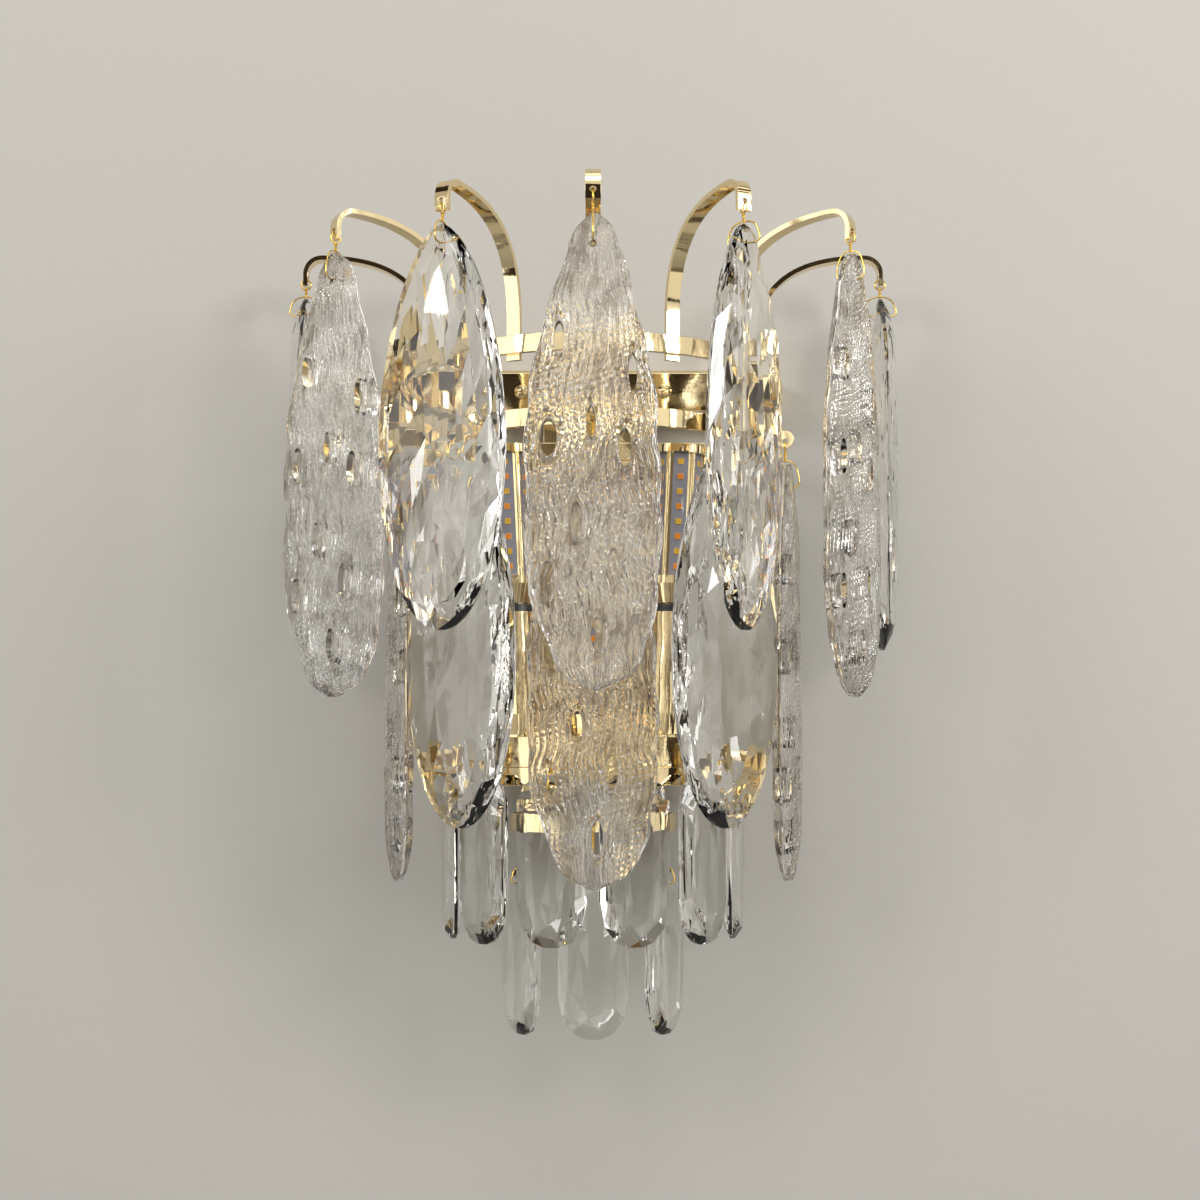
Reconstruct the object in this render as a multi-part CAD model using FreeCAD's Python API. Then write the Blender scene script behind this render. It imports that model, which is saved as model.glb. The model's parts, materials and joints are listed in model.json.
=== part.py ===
"""Crystal wall sconce: a gilt strip frame hung with cast and cut glass in four tiers.

Millimetres. The origin is the middle of the mounting bracket on the wall, +Z is up,
+X is to the viewer's right and the object stands out from the wall towards -Y.
Bearings are counted about the ring axis: 0 faces the viewer, +90 is to the right.
"""
import FreeCAD
import Part
import math
import os

V = FreeCAD.Vector
UP = V(0, 0, 1)
ORIGIN = V(0, 0, 0)

# strips and rings
STRIP_THICKNESS = 2.5
RING_STRIP_HEIGHT = 9.5
RING_AXIS_FROM_WALL = 38.0
RING_1_RADIUS, RING_1_Z = 92.0, 4.0
RING_2_RADIUS, RING_2_Z = 90.0, -33.75
RING_3_RADIUS, RING_3_Z = 66.0, -217.25
RING_4_RADIUS, RING_4_Z = 45.0, -241.75

# canopy on the wall, with the bracket that it hooks over
CANOPY_LENGTH, CANOPY_HEIGHT, CANOPY_DEPTH = 214.0, 25.0, 22.0
CANOPY_WALL = 1.2
CANOPY_END_RADIUS = 8.0
CANOPY_CHAMFER = 2.0
BRACKET_LENGTH, BRACKET_HEIGHT, BRACKET_THICKNESS = 122.0, 18.0, 1.5
BRACKET_STANDOFF = 12.0
BRACKET_FOOT = 15.0
WALL_HOLE_SPACING, WALL_HOLE_RADIUS = 106.0, 2.5
CANOPY_SCREW_SPACING, CANOPY_SCREW_RADIUS = 80.0, 2.0
SCREW_CLEARANCE = 0.25
SCREW_HEAD_RADIUS, SCREW_HEAD_HEIGHT = 4.2, 2.6
CABLE_HOLE_RADIUS = 5.0
WALL_CLEARANCE = 0.3

# spine, tray and terminal block
SPINE_WIDTH, SPINE_THICKNESS = 56.0, 2.0
SPINE_FOOT_RADIUS = 10.0
HEEL_BELOW_TRAY_TOP = 40.0
LEAD_SLOT_WIDTH, LEAD_SLOT_HEIGHT, LEAD_SLOT_BELOW_TRAY = 12.0, 5.5, 3.5
TRAY_HEIGHT, TRAY_WALL = 16.0, 1.5
BLOCK_LENGTH, BLOCK_HEIGHT, BLOCK_DEPTH = 30.0, 13.0, 9.0
BLOCK_POLES = 3

# arms of the first tier
ARM_WIDTH = 7.5
ARM_BEARINGS = (-90, -55, -27, 0, 27, 55, 90)
ARM_TIP_RADIUS = 160.0
ARM_TOP_Z, ARM_TIP_Z = 72.5, 55.5
ARM_SHOULDER_RADIUS = 9.0
ARM_FOOT_PULL, ARM_TOP_PULL = 60.0, 70.0
ARM_FOOT_BELOW_RING = 3.0
ARM_SEAT_GAP = 0.1
ARM_HOLE_RADIUS = 1.5
ARM_HOLE_ABOVE_TIP = 4.6

# tabs of the second and third tiers
TAB_HOLE_RADIUS = 1.6
TAB_NOSE = 4.75
TAB_ABOVE_HOLE = 1.2
TIER_2_RADIUS, TIER_2_HOLE_Z = 107.0, -35.5
TIER_3_RADIUS, TIER_3_HOLE_Z = 77.0, -206.0
TIER_2_BEARINGS = (-77.5, -39, 0, 39, 77.5)
TIER_3_BEARINGS = (-80, -48, -16, 16, 48, 80)
TIER_4_BEARINGS = (-58, 0, 58)
TIER_4_HOLE_ABOVE_EDGE = 4.6

# wire hangers
WIRE_RADIUS = 0.5
EYE_RADIUS = 2.75
NECK_RADIUS = 0.8
WIRE_PLAY = 0.1
LOOP_CORNER = 1.3
HINGE_BELOW_HOLE = 3.4
GLASS_HOLE_RADIUS = 1.7

# glass: length, width, thickness, and where the hanging hole is below the top
BARK = {"length": 226.0, "width": 67.0, "thickness": 13.0, "hole_drop": 15.0}
DROP = {"length": 196.0, "width": 67.0, "thickness": 16.0, "hole_drop": 11.0}
PRISM = {"length": 88.0, "width": 37.0, "thickness": 11.0, "hole_drop": 9.0}
# facet rings from the girdle to the table: share of the outline, of the half thickness, turned
DROP_CORNERS = 22
DROP_ROWS = ((1.0, 0.12, False), (0.87, 0.55, True), (0.66, 0.84, False), (0.36, 1.0, True))
PRISM_ROWS = ((1.0, 0.22, False), (0.72, 0.80, False), (0.40, 1.0, False))
TIER_1_GLASS_BELOW_HINGE = 8.2
TIER_2_GLASS_BELOW_HINGE = 12.0
TIER_3_GLASS_BELOW_HINGE = 10.5
TIER_4_GLASS_BELOW_HINGE = 21.5

# lamps
LAMP_X, LAMP_OUT, LAMP_TILT = 40.0, 34.5, 2.7
CUP_HEIGHT, CUP_RADIUS, CUP_FLARE, CUP_WALL, CUP_FLOOR = 10.5, 14.4, 1.2, 0.8, 2.0
WASHER_RIM, WASHER_HEIGHT = 2.2, 1.6
STEM_RADIUS, STEM_BELOW = 5.0, 7.0
STEM_BORE = 3.2
STEM_NUT_ACROSS, HOLDER_NUT_ACROSS, NUT_HEIGHT = 14.0, 24.0, 3.0
THREAD_PLAY = 0.05
LOW_HOLDER_RADIUS = 9.0
SLEEVE_RISE, SLEEVE_RADIUS, SLEEVE_WALL = 54.0, 12.2, 0.8
HOLDER_BORE = 7.4
HOLDER_RIM_RADIUS, HOLDER_RIM_HEIGHT = 12.6, 3.6
HOLDER_DEPTH = 23.0
SEAT_PLAY = 0.15
FERRULE_HEIGHT, FERRULE_LOW, FERRULE_HIGH = 11.0, 9.6, 13.2
THREAD_RADIUS, THREAD_LENGTH = 6.9, 20.0
CONTACT_RADIUS, CONTACT_HEIGHT = 3.2, 2.5
CORE_APOTHEM, CORE_HEIGHT = 9.6, 66.0
CAP_RADIUS, CAP_HEIGHT = 14.2, 4.2
ROD_RADIUS = 1.2
BOARD_SIDES = 6
BOARD_WIDTH, BOARD_THICKNESS = 8.0, 1.2
CHIPS_A_BOARD, CHIP_SIZE, CHIP_HEIGHT, CHIP_PITCH = 8, 3.3, 0.7, 8.0

RING_AXIS = V(0, -RING_AXIS_FROM_WALL, 0)
TRAY_TOP_Z = RING_3_Z + RING_STRIP_HEIGHT / 2 + TRAY_HEIGHT
TRAY_BOTTOM_Z = TRAY_TOP_Z - TRAY_HEIGHT
TIER_1_HINGE_Z = ARM_TIP_Z + ARM_HOLE_ABOVE_TIP - HINGE_BELOW_HOLE
RING_4_EDGE_Z = RING_4_Z - RING_STRIP_HEIGHT / 2
TIER_4_HINGE_Z = RING_4_EDGE_Z + TIER_4_HOLE_ABOVE_EDGE - HINGE_BELOW_HOLE
SPINE_FRONT_Y = -CANOPY_DEPTH + STRIP_THICKNESS


def save(name, shapes):
    """Write one node: a solid, or a group of separate solids."""
    shape = shapes[0] if len(shapes) == 1 else Part.makeCompound(shapes)
    shape.exportStep("parts/%s.step" % name)


def box(x0, x1, y0, y1, z0, z1):
    return Part.makeBox(x1 - x0, y1 - y0, z1 - z0, V(x0, y0, z0))


def cylinder(radius, height, foot, direction=UP):
    return Part.makeCylinder(radius, height, foot, direction)


def turned(shape, bearing):
    """Turn a piece drawn at bearing 0 about the ring axis."""
    piece = shape.copy()
    piece.rotate(RING_AXIS, UP, bearing)
    return piece


def d_outline(radius, back_y, inset):
    """Face of a half round with straight legs back to back_y, drawn inset inwards."""
    r = radius - inset
    back = back_y - inset
    cy = -RING_AXIS_FROM_WALL
    left, right = V(-r, cy, 0), V(r, cy, 0)
    corners = (V(-r, back, 0), V(r, back, 0))
    edges = [
        Part.LineSegment(corners[0], left).toShape(),
        Part.Arc(left, V(0, cy - r, 0), right).toShape(),
        Part.LineSegment(right, corners[1]).toShape(),
        Part.LineSegment(corners[1], corners[0]).toShape(),
    ]
    return Part.Face(Part.Wire(edges))


def d_ring(radius, middle_z, back_y):
    """Closed ring of strip on edge: half round in front, straight across the back."""
    half = STRIP_THICKNESS / 2
    outer = d_outline(radius + half, back_y, 0)
    inner = d_outline(radius + half, back_y, STRIP_THICKNESS)
    ring = outer.cut(inner).extrude(V(0, 0, RING_STRIP_HEIGHT))
    ring.translate(V(0, 0, middle_z - RING_STRIP_HEIGHT / 2))
    return ring


def open_ring(radius, middle_z, back_y):
    """Half ring whose two legs end square against the canopy's face."""
    half = STRIP_THICKNESS / 2
    ring = d_ring(radius, middle_z, back_y + 2 * STRIP_THICKNESS)
    z0 = middle_z - RING_STRIP_HEIGHT
    behind = back_y + 4 * STRIP_THICKNESS
    off = box(-radius - half - 1, radius + half + 1, back_y, behind, z0, z0 + 2 * RING_STRIP_HEIGHT)
    return ring.cut(off)


def mounting_bracket():
    """Steel strap on the wall, its middle stepped forward to take the canopy screws."""
    t = BRACKET_THICKNESS
    end = BRACKET_LENGTH / 2
    leg = end - BRACKET_FOOT
    front = -BRACKET_STANDOFF
    line = [(-end, 0), (-end, -t), (-leg, -t), (-leg, front), (leg, front), (leg, -t), (end, -t), (end, 0),
            (leg - t, 0), (leg - t, front + t), (-leg + t, front + t), (-leg + t, 0), (-end, 0)]
    wire = Part.makePolygon([V(x, y, -BRACKET_HEIGHT / 2) for x, y in line])
    strap = Part.Face(wire).extrude(V(0, 0, BRACKET_HEIGHT))
    for side in (-1, 1):
        wall_hole = V(side * WALL_HOLE_SPACING / 2, 1, 0)
        strap = strap.cut(cylinder(WALL_HOLE_RADIUS, 4, wall_hole, V(0, -1, 0)))
        tapped = V(side * CANOPY_SCREW_SPACING / 2, front + t + 1, 0)
        strap = strap.cut(cylinder(CANOPY_SCREW_RADIUS + SCREW_CLEARANCE, 4, tapped, V(0, -1, 0)))
    return strap.cut(cylinder(CABLE_HOLE_RADIUS, 8, V(0, front + t + 1, 0), V(0, -1, 0)))


def canopy():
    """Shallow gilt box, open to the wall, with round ends and a bevelled front."""
    hx, hz = CANOPY_LENGTH / 2, CANOPY_HEIGHT / 2
    shell = box(-hx, hx, -CANOPY_DEPTH, 0, -hz, hz)
    ends = [e for e in shell.Edges if abs(abs(e.BoundBox.Center.x) - hx) < 0.01
            and e.BoundBox.YLength > CANOPY_DEPTH - 1]
    shell = shell.makeFillet(CANOPY_END_RADIUS, ends)
    front = [e for e in shell.Edges if abs(e.BoundBox.YMin + CANOPY_DEPTH) < 0.01
             and e.BoundBox.YLength < 0.01]
    shell = shell.makeChamfer(CANOPY_CHAMFER, front)
    w = CANOPY_WALL
    hollow = box(-hx + w, hx - w, -CANOPY_DEPTH + w, 1, -hz + w, hz - w)
    ends = [e for e in hollow.Edges if abs(abs(e.BoundBox.Center.x) - hx + w) < 0.01
            and e.BoundBox.YLength > CANOPY_DEPTH - 1]
    hollow = hollow.makeFillet(CANOPY_END_RADIUS - w, ends)
    front = [e for e in hollow.Edges if abs(e.BoundBox.YMin + CANOPY_DEPTH - w) < 0.01
             and e.BoundBox.YLength < 0.01]
    hollow = hollow.makeChamfer(CANOPY_CHAMFER, front)
    shell = shell.cut(hollow)
    for side in (-1, 1):
        foot = V(side * CANOPY_SCREW_SPACING / 2, -CANOPY_DEPTH - 1, 0)
        shell = shell.cut(cylinder(CANOPY_SCREW_RADIUS + SCREW_CLEARANCE, 4, foot, V(0, 1, 0)))
    return shell


def canopy_screw(side):
    """Pan head screw with a cross recess, through the canopy into the bracket."""
    seat = V(side * CANOPY_SCREW_SPACING / 2, -CANOPY_DEPTH, 0)
    shank_length = CANOPY_DEPTH - BRACKET_STANDOFF + BRACKET_THICKNESS + 1.5
    shank = cylinder(CANOPY_SCREW_RADIUS, shank_length, seat, V(0, 1, 0))
    ball_radius = (SCREW_HEAD_RADIUS ** 2 + SCREW_HEAD_HEIGHT ** 2) / (2 * SCREW_HEAD_HEIGHT)
    centre = seat + V(0, ball_radius - SCREW_HEAD_HEIGHT, 0)
    head = Part.makeSphere(ball_radius, centre)
    reach = ball_radius * 2
    front = box(seat.x - reach, seat.x + reach, seat.y - reach, seat.y, -reach, reach)
    head = head.common(front)
    arm, depth = 2.2, 1.5
    y0 = -CANOPY_DEPTH - SCREW_HEAD_HEIGHT - 1
    y1 = -CANOPY_DEPTH - SCREW_HEAD_HEIGHT + depth
    cross = box(seat.x - arm, seat.x + arm, y0, y1, -0.45, 0.45)
    cross = cross.fuse(box(seat.x - 0.45, seat.x + 0.45, y0, y1, -arm, arm))
    return head.cut(cross).fuse(shank)


def terminal_block():
    """Three-pole block behind the canopy's face, where the supply is joined."""
    front = -CANOPY_DEPTH + CANOPY_WALL + 0.3
    hx, hz = BLOCK_LENGTH / 2, BLOCK_HEIGHT / 2
    body = box(-hx, hx, front, front + BLOCK_DEPTH - 3.2, -hz, hz)
    pitch = BLOCK_LENGTH / BLOCK_POLES
    for pole in range(BLOCK_POLES):
        x = -hx + pitch * (pole + 0.5)
        body = body.cut(cylinder(1.6, BLOCK_HEIGHT + 2, V(x, front + 2.9, -hz - 1)))
    for gap in range(1, BLOCK_POLES):
        x = -hx + pitch * gap
        body = body.cut(box(x - 0.5, x + 0.5, front - 1, front + 1.2, -hz - 1, hz + 1))
    return body


def spine_plate():
    """Upright plate from the canopy down to the lowest ring, slotted for the lamp leads."""
    hx = SPINE_WIDTH / 2
    top = -CANOPY_HEIGHT / 2
    foot = RING_4_EDGE_Z
    y0 = SPINE_FRONT_Y
    plate = box(-hx, hx, y0, y0 + SPINE_THICKNESS, foot, top)
    corners = [e for e in plate.Edges if e.BoundBox.ZMax < foot + 0.01 and e.BoundBox.YLength > 1]
    plate = plate.makeFillet(SPINE_FOOT_RADIUS, corners)
    flange = box(-hx, hx, y0, -WALL_CLEARANCE, top - SPINE_THICKNESS, top)
    heel_z = TRAY_TOP_Z - HEEL_BELOW_TRAY_TOP
    heel = box(-hx, hx, y0, -WALL_CLEARANCE, heel_z, heel_z + SPINE_THICKNESS)
    slot_top = TRAY_BOTTOM_Z - LEAD_SLOT_BELOW_TRAY
    slot = box(-LEAD_SLOT_WIDTH / 2, LEAD_SLOT_WIDTH / 2, y0 - 1, y0 + SPINE_THICKNESS + 1,
               slot_top - LEAD_SLOT_HEIGHT, slot_top)
    return plate.fuse(flange).fuse(heel).cut(slot).removeSplitter()


def lamp_tray():
    """Half drum that the lamp cups stand on, closed on top and open below."""
    half = STRIP_THICKNESS / 2
    outer = d_outline(RING_3_RADIUS + half, SPINE_FRONT_Y, 0).extrude(V(0, 0, TRAY_HEIGHT))
    inner = d_outline(RING_3_RADIUS + half, SPINE_FRONT_Y, TRAY_WALL)
    inner = inner.extrude(V(0, 0, TRAY_HEIGHT - TRAY_WALL))
    tray = outer.cut(inner)
    tray.translate(V(0, 0, TRAY_BOTTOM_Z))
    for side, radius in ((-1, STEM_RADIUS), (0, LOW_HOLDER_RADIUS), (1, STEM_RADIUS)):
        foot = V(side * LAMP_X, -RING_AXIS_FROM_WALL - LAMP_OUT, TRAY_TOP_Z - 6)
        tray = tray.cut(cylinder(radius + SCREW_CLEARANCE, 12, foot))
    return tray


def arm_path(offset):
    """Edge line of an arm in its own plane, as (radius, z), offset from the middle line."""
    half = STRIP_THICKNESS / 2
    foot_r = RING_1_RADIUS - STRIP_THICKNESS - ARM_SEAT_GAP - offset
    low = RING_1_Z - RING_STRIP_HEIGHT / 2 - ARM_FOOT_BELOW_RING
    rise = RING_1_Z + RING_STRIP_HEIGHT / 2 + 6
    tip_r = ARM_TIP_RADIUS + offset
    shoulder = ARM_SHOULDER_RADIUS + offset
    top = ARM_TOP_Z - half + offset
    flat_r = ARM_TIP_RADIUS - ARM_SHOULDER_RADIUS
    mid = V(foot_r + (flat_r - foot_r) * 0.155, rise + (top - rise) * 0.66, 0)
    return foot_r, low, rise, mid, flat_r, top, shoulder, tip_r


def curve_through(points, start, end):
    spline = Part.BSplineCurve()
    spline.interpolate(Points=points, InitialTangent=start, FinalTangent=end)
    return spline.toShape()


def arm():
    """Flat strip that rises from inside ring 1, arches outwards and turns down at its tip."""
    half = STRIP_THICKNESS / 2
    sides = []
    for offset in (-half, half):
        foot_r, low, rise, mid, flat_r, top, shoulder, tip_r = arm_path(offset)
        top_end = V(flat_r, top, 0)
        half_way = shoulder * math.sqrt(0.5)
        quarter = V(flat_r + half_way, top - shoulder + half_way, 0)
        tip_top = V(tip_r, top - shoulder, 0)
        tip = V(tip_r, ARM_TIP_Z, 0)
        sides.append([
            Part.LineSegment(V(foot_r, low, 0), V(foot_r, rise, 0)).toShape(),
            curve_through([V(foot_r, rise, 0), mid, top_end], V(0, ARM_FOOT_PULL, 0), V(ARM_TOP_PULL, 0, 0)),
            Part.Arc(top_end, quarter, tip_top).toShape(),
            Part.LineSegment(tip_top, tip).toShape(),
        ])
    inner, outer = sides
    foot = Part.LineSegment(inner[0].Vertexes[0].Point, outer[0].Vertexes[0].Point).toShape()
    end = Part.LineSegment(inner[-1].Vertexes[-1].Point, outer[-1].Vertexes[-1].Point).toShape()
    wire = Part.Wire(Part.__sortEdges__(inner + outer + [foot, end]))
    strip = Part.Face(wire).extrude(V(0, 0, ARM_WIDTH))
    strip.translate(V(0, 0, -ARM_WIDTH / 2))
    strip = in_radial_plane(strip)
    hole = V(0, -RING_AXIS_FROM_WALL - ARM_TIP_RADIUS + 5, ARM_TIP_Z + ARM_HOLE_ABOVE_TIP)
    return strip.cut(cylinder(ARM_HOLE_RADIUS, 10, hole, V(0, -1, 0)))


def in_radial_plane(shape):
    """Move a piece drawn in (radius, height, across) to bearing 0 about the ring axis."""
    matrix = FreeCAD.Matrix(0, 0, 1, 0, -1, 0, 0, -RING_AXIS_FROM_WALL, 0, 1, 0, 0, 0, 0, 0, 1)
    return shape.transformGeometry(matrix)


def tab(ring_radius, hole_radius, hole_z):
    """Short plate on edge, standing out from a ring, with a round nose and a hole."""
    start = ring_radius + STRIP_THICKNESS / 2
    h = RING_STRIP_HEIGHT / 2
    nose = TAB_NOSE
    low, high = hole_z - h + TAB_ABOVE_HOLE, hole_z + h + TAB_ABOVE_HOLE
    edges = [
        Part.LineSegment(V(start, low, 0), V(start, high, 0)).toShape(),
        Part.LineSegment(V(start, high, 0), V(hole_radius, high, 0)).toShape(),
        Part.Arc(V(hole_radius, high, 0), V(hole_radius + nose, (low + high) / 2, 0),
                 V(hole_radius, low, 0)).toShape(),
        Part.LineSegment(V(hole_radius, low, 0), V(start, low, 0)).toShape(),
    ]
    plate = Part.Face(Part.Wire(edges)).extrude(V(0, 0, STRIP_THICKNESS))
    plate.translate(V(0, 0, -STRIP_THICKNESS / 2))
    drill = cylinder(TAB_HOLE_RADIUS, 10, V(hole_radius, hole_z, -5))
    return in_radial_plane(plate.cut(drill))


def ring_with_holes():
    """Ring 4, drilled near its lower edge for the three prisms that hang from it."""
    ring = d_ring(RING_4_RADIUS, RING_4_Z, SPINE_FRONT_Y)
    hole_z = RING_4_EDGE_Z + TIER_4_HOLE_ABOVE_EDGE
    for bearing in TIER_4_BEARINGS:
        foot = V(0, -RING_AXIS_FROM_WALL - RING_4_RADIUS + 5, hole_z)
        ring = ring.cut(turned(cylinder(ARM_HOLE_RADIUS, 10, foot, V(0, -1, 0)), bearing))
    return ring


def hanger(glass, below_hinge, eye_across, yaw):
    """Twisted wire: an eye round the strip, a neck, and a loop through the glass.

    Drawn with the eye's turning point at the origin. The eye lies in the radial plane, or
    across a tab, and the loop is yawed with its glass.
    """
    if eye_across:
        centre, plane = V(0, 0, -EYE_RADIUS), V(0, 1, 0)
    else:
        centre, plane = ORIGIN, V(1, 0, 0)
    eye = Part.makeTorus(EYE_RADIUS, WIRE_RADIUS, centre, plane)
    eye_foot = centre.z - EYE_RADIUS
    glass_top = -below_hinge
    loop_top = glass_top + 1.4
    hole_top = glass_top - glass["hole_drop"] + GLASS_HOLE_RADIUS
    run_z = hole_top - WIRE_RADIUS - WIRE_PLAY
    reach = glass["thickness"] / 2 + WIRE_RADIUS + 0.45
    shoulder = reach * 0.62
    corners = [V(0, -shoulder, loop_top), V(0, shoulder, loop_top),
               V(0, reach, glass_top - glass["hole_drop"] * 0.45), V(0, reach, run_z),
               V(0, -reach, run_z), V(0, -reach, glass_top - glass["hole_drop"] * 0.45)]
    loop = rounded_tube(corners, WIRE_RADIUS, LOOP_CORNER)
    loop.rotate(ORIGIN, UP, yaw)
    neck = cylinder(NECK_RADIUS, eye_foot - loop_top, V(0, 0, loop_top))
    return eye.fuse(neck).fuse(loop)


def rounded_tube(corners, radius, corner_radius):
    """Closed tube along a polygon whose corners are rounded by tangent arcs."""
    edges = []
    count = len(corners)
    starts, ends, mids = [], [], []
    for i in range(count):
        here, before, after = corners[i], corners[i - 1], corners[(i + 1) % count]
        to_before = (before - here).normalize()
        to_after = (after - here).normalize()
        half_angle = to_before.getAngle(to_after) / 2
        back = corner_radius / math.tan(half_angle)
        bisector = (to_before + to_after).normalize()
        reach = corner_radius / math.sin(half_angle) - corner_radius
        starts.append(here + to_before * back)
        mids.append(here + bisector * reach)
        ends.append(here + to_after * back)
    for i in range(count):
        edges.append(Part.Arc(starts[i], mids[i], ends[i]).toShape())
        edges.append(Part.LineSegment(ends[i], starts[(i + 1) % count]).toShape())
    direction = (edges[1].Vertexes[1].Point - edges[1].Vertexes[0].Point).normalize()
    path = Part.Wire(edges[1:] + edges[:1])
    first = edges[1].Vertexes[0].Point
    circle = Part.Wire(Part.Circle(first, direction, radius).toShape())
    return path.makePipeShell([circle], True, False)


def bark_glass(glass):
    """Cast slab with a wavy outline: a loft through blunt ovals, pierced by slim ovals."""
    length, width, thick = glass["length"], glass["width"], glass["thickness"]
    # share of the length from the top, half width, half thickness and sideways drift
    stations = ((0.000, 0.10, 0.30, 0.02), (0.020, 0.27, 0.58, 0.02), (0.068, 0.44, 0.80, 0.02),
                (0.150, 0.60, 0.95, 0.00), (0.253, 0.77, 1.00, 0.01), (0.356, 0.90, 1.00, 0.03),
                (0.460, 0.98, 1.00, 0.01), (0.600, 1.00, 1.00, 0.01), (0.726, 0.98, 1.00, 0.01),
                (0.810, 0.92, 1.00, 0.00), (0.870, 0.80, 0.92, 0.03), (0.930, 0.64, 0.78, 0.02),
                (0.980, 0.38, 0.50, 0.02), (1.000, 0.12, 0.20, 0.02))
    wires = []
    for share, wide, deep, drift in stations:
        a, b = wide * width / 2, deep * thick / 2
        centre = V(drift * width, 0, -share * length)
        steps = [2 * math.pi * (k + 0.5) / 12 for k in range(12)]
        # a blunt oval: powers of sine and cosine below one square up the ellipse
        ring = [centre + V(a * blunt(math.cos(t)), b * blunt(math.sin(t)), 0) for t in steps]
        spline = Part.BSplineCurve()
        spline.interpolate(Points=ring, PeriodicFlag=True)
        wires.append(Part.Wire(spline.toShape()))
    body = Part.makeLoft(wires, True, False)
    # across, share of the length, half width and half height of each piercing
    piercings = ((-0.239, 0.265, 2.4, 8.0), (0.279, 0.336, 2.0, 9.0), (-0.313, 0.473, 4.0, 8.8),
                 (-0.015, 0.442, 2.0, 8.0), (0.224, 0.496, 3.0, 9.0), (-0.119, 0.646, 2.6, 8.6),
                 (0.142, 0.743, 2.6, 8.8), (-0.321, 0.770, 3.4, 8.8), (0.030, 0.885, 2.8, 8.4))
    for across, share, a, b in piercings:
        oval = Part.Ellipse(ORIGIN, b, a).toShape()
        oval.rotate(ORIGIN, UP, 90)
        cutter = Part.Face(Part.Wire(oval)).extrude(V(0, 0, thick * 2))
        cutter.rotate(ORIGIN, V(1, 0, 0), 90)
        cutter.translate(V(across * width, thick, -share * length))
        body = body.cut(cutter)
    return drilled(body, glass)


def blunt(value):
    return math.copysign(abs(value) ** 0.8, value)


def drilled(body, glass):
    foot = V(0, -glass["thickness"], -glass["hole_drop"])
    return body.cut(cylinder(GLASS_HOLE_RADIUS, 2 * glass["thickness"], foot, V(0, 1, 0)))


def faceted(outline, glass, rows):
    """Cut glass: rings of corners shrinking from the girdle to the table on both faces.

    Each row is (share of the outline's size, share of the half thickness, turned by half
    a step). Neighbouring rings are joined by triangles, and the last ring is the table.
    """
    count = len(outline)
    half = glass["thickness"] / 2
    rings = []
    for scale, depth, shifted in rows:
        ring = []
        for i in range(count):
            x, z = outline[i]
            if shifted:
                x2, z2 = outline[(i + 1) % count]
                x, z = (x + x2) / 2, (z + z2) / 2
            mid = -glass["length"] * 0.5
            ring.append((x * scale, mid + (z - mid) * (1 - (1 - scale) * glass["width"] / glass["length"]),
                         half * depth, shifted))
        rings.append(ring)
    faces = []
    for side in (-1, 1):
        for lower, upper in zip(rings[:-1], rings[1:]):
            faces += band(lower, upper, side)
        top = [V(x, side * y, z) for x, z, y, _ in rings[-1]]
        faces.append(Part.Face(Part.makePolygon(top + top[:1])))
    girdle = rings[0]
    for i in range(count):
        x0, z0, y0, _ = girdle[i]
        x1, z1, y1, _ = girdle[(i + 1) % count]
        quad = [V(x0, -y0, z0), V(x1, -y1, z1), V(x1, y1, z1), V(x0, y0, z0)]
        faces.append(Part.Face(Part.makePolygon(quad + quad[:1])))
    solid = Part.Solid(Part.Shell(faces))
    if solid.Volume < 0:
        solid.reverse()
    return drilled(solid, glass)


def band(lower, upper, side):
    """Triangles between two rings of equal count, either of them turned by half a step."""
    count = len(lower)
    faces = []
    for i in range(count):
        j = (i + 1) % count
        if upper[0][3] and not lower[0][3]:
            triangles = ((lower[i], lower[j], upper[i]), (lower[j], upper[j], upper[i]))
        else:
            triangles = ((lower[i], lower[j], upper[j]), (lower[i], upper[j], upper[i]))
        for triangle in triangles:
            points = [V(x, side * y, z) for x, z, y, _ in triangle]
            faces.append(Part.Face(Part.makePolygon(points + points[:1])))
    return faces


def drop_outline(glass):
    """Long drop: narrow at the top, widest just below the middle, round at the bottom.

    The half width goes as share**above * (1 - share)**below, counted from the top.
    """
    above, below = 0.62, 0.50
    peak = above / (above + below)
    full = peak ** above * (1 - peak) ** below
    points = []
    for k in range(DROP_CORNERS):
        t = 2 * math.pi * (k + 0.5) / DROP_CORNERS
        share = (1 - math.cos(t)) / 2
        fullness = share ** above * (1 - share) ** below / full
        points.append((math.copysign(glass["width"] / 2 * fullness, math.sin(t)), -share * glass["length"]))
    low = min(z for _, z in points)
    high = max(z for _, z in points)
    return [(x, (z - high) * glass["length"] / (high - low)) for x, z in points]


def prism_outline(glass):
    """Straight-sided prism with a short point above and a longer rounded one below."""
    w, h = glass["width"] / 2, glass["length"]
    right = ((0.34, 0.00), (0.80, 0.06), (1.00, 0.16), (1.00, 0.45), (1.00, 0.74),
             (0.86, 0.88), (0.55, 0.97), (0.20, 1.00))
    points = [(x * w, -z * h) for x, z in right]
    return points + [(-x, z) for x, z in reversed(points)]


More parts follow.
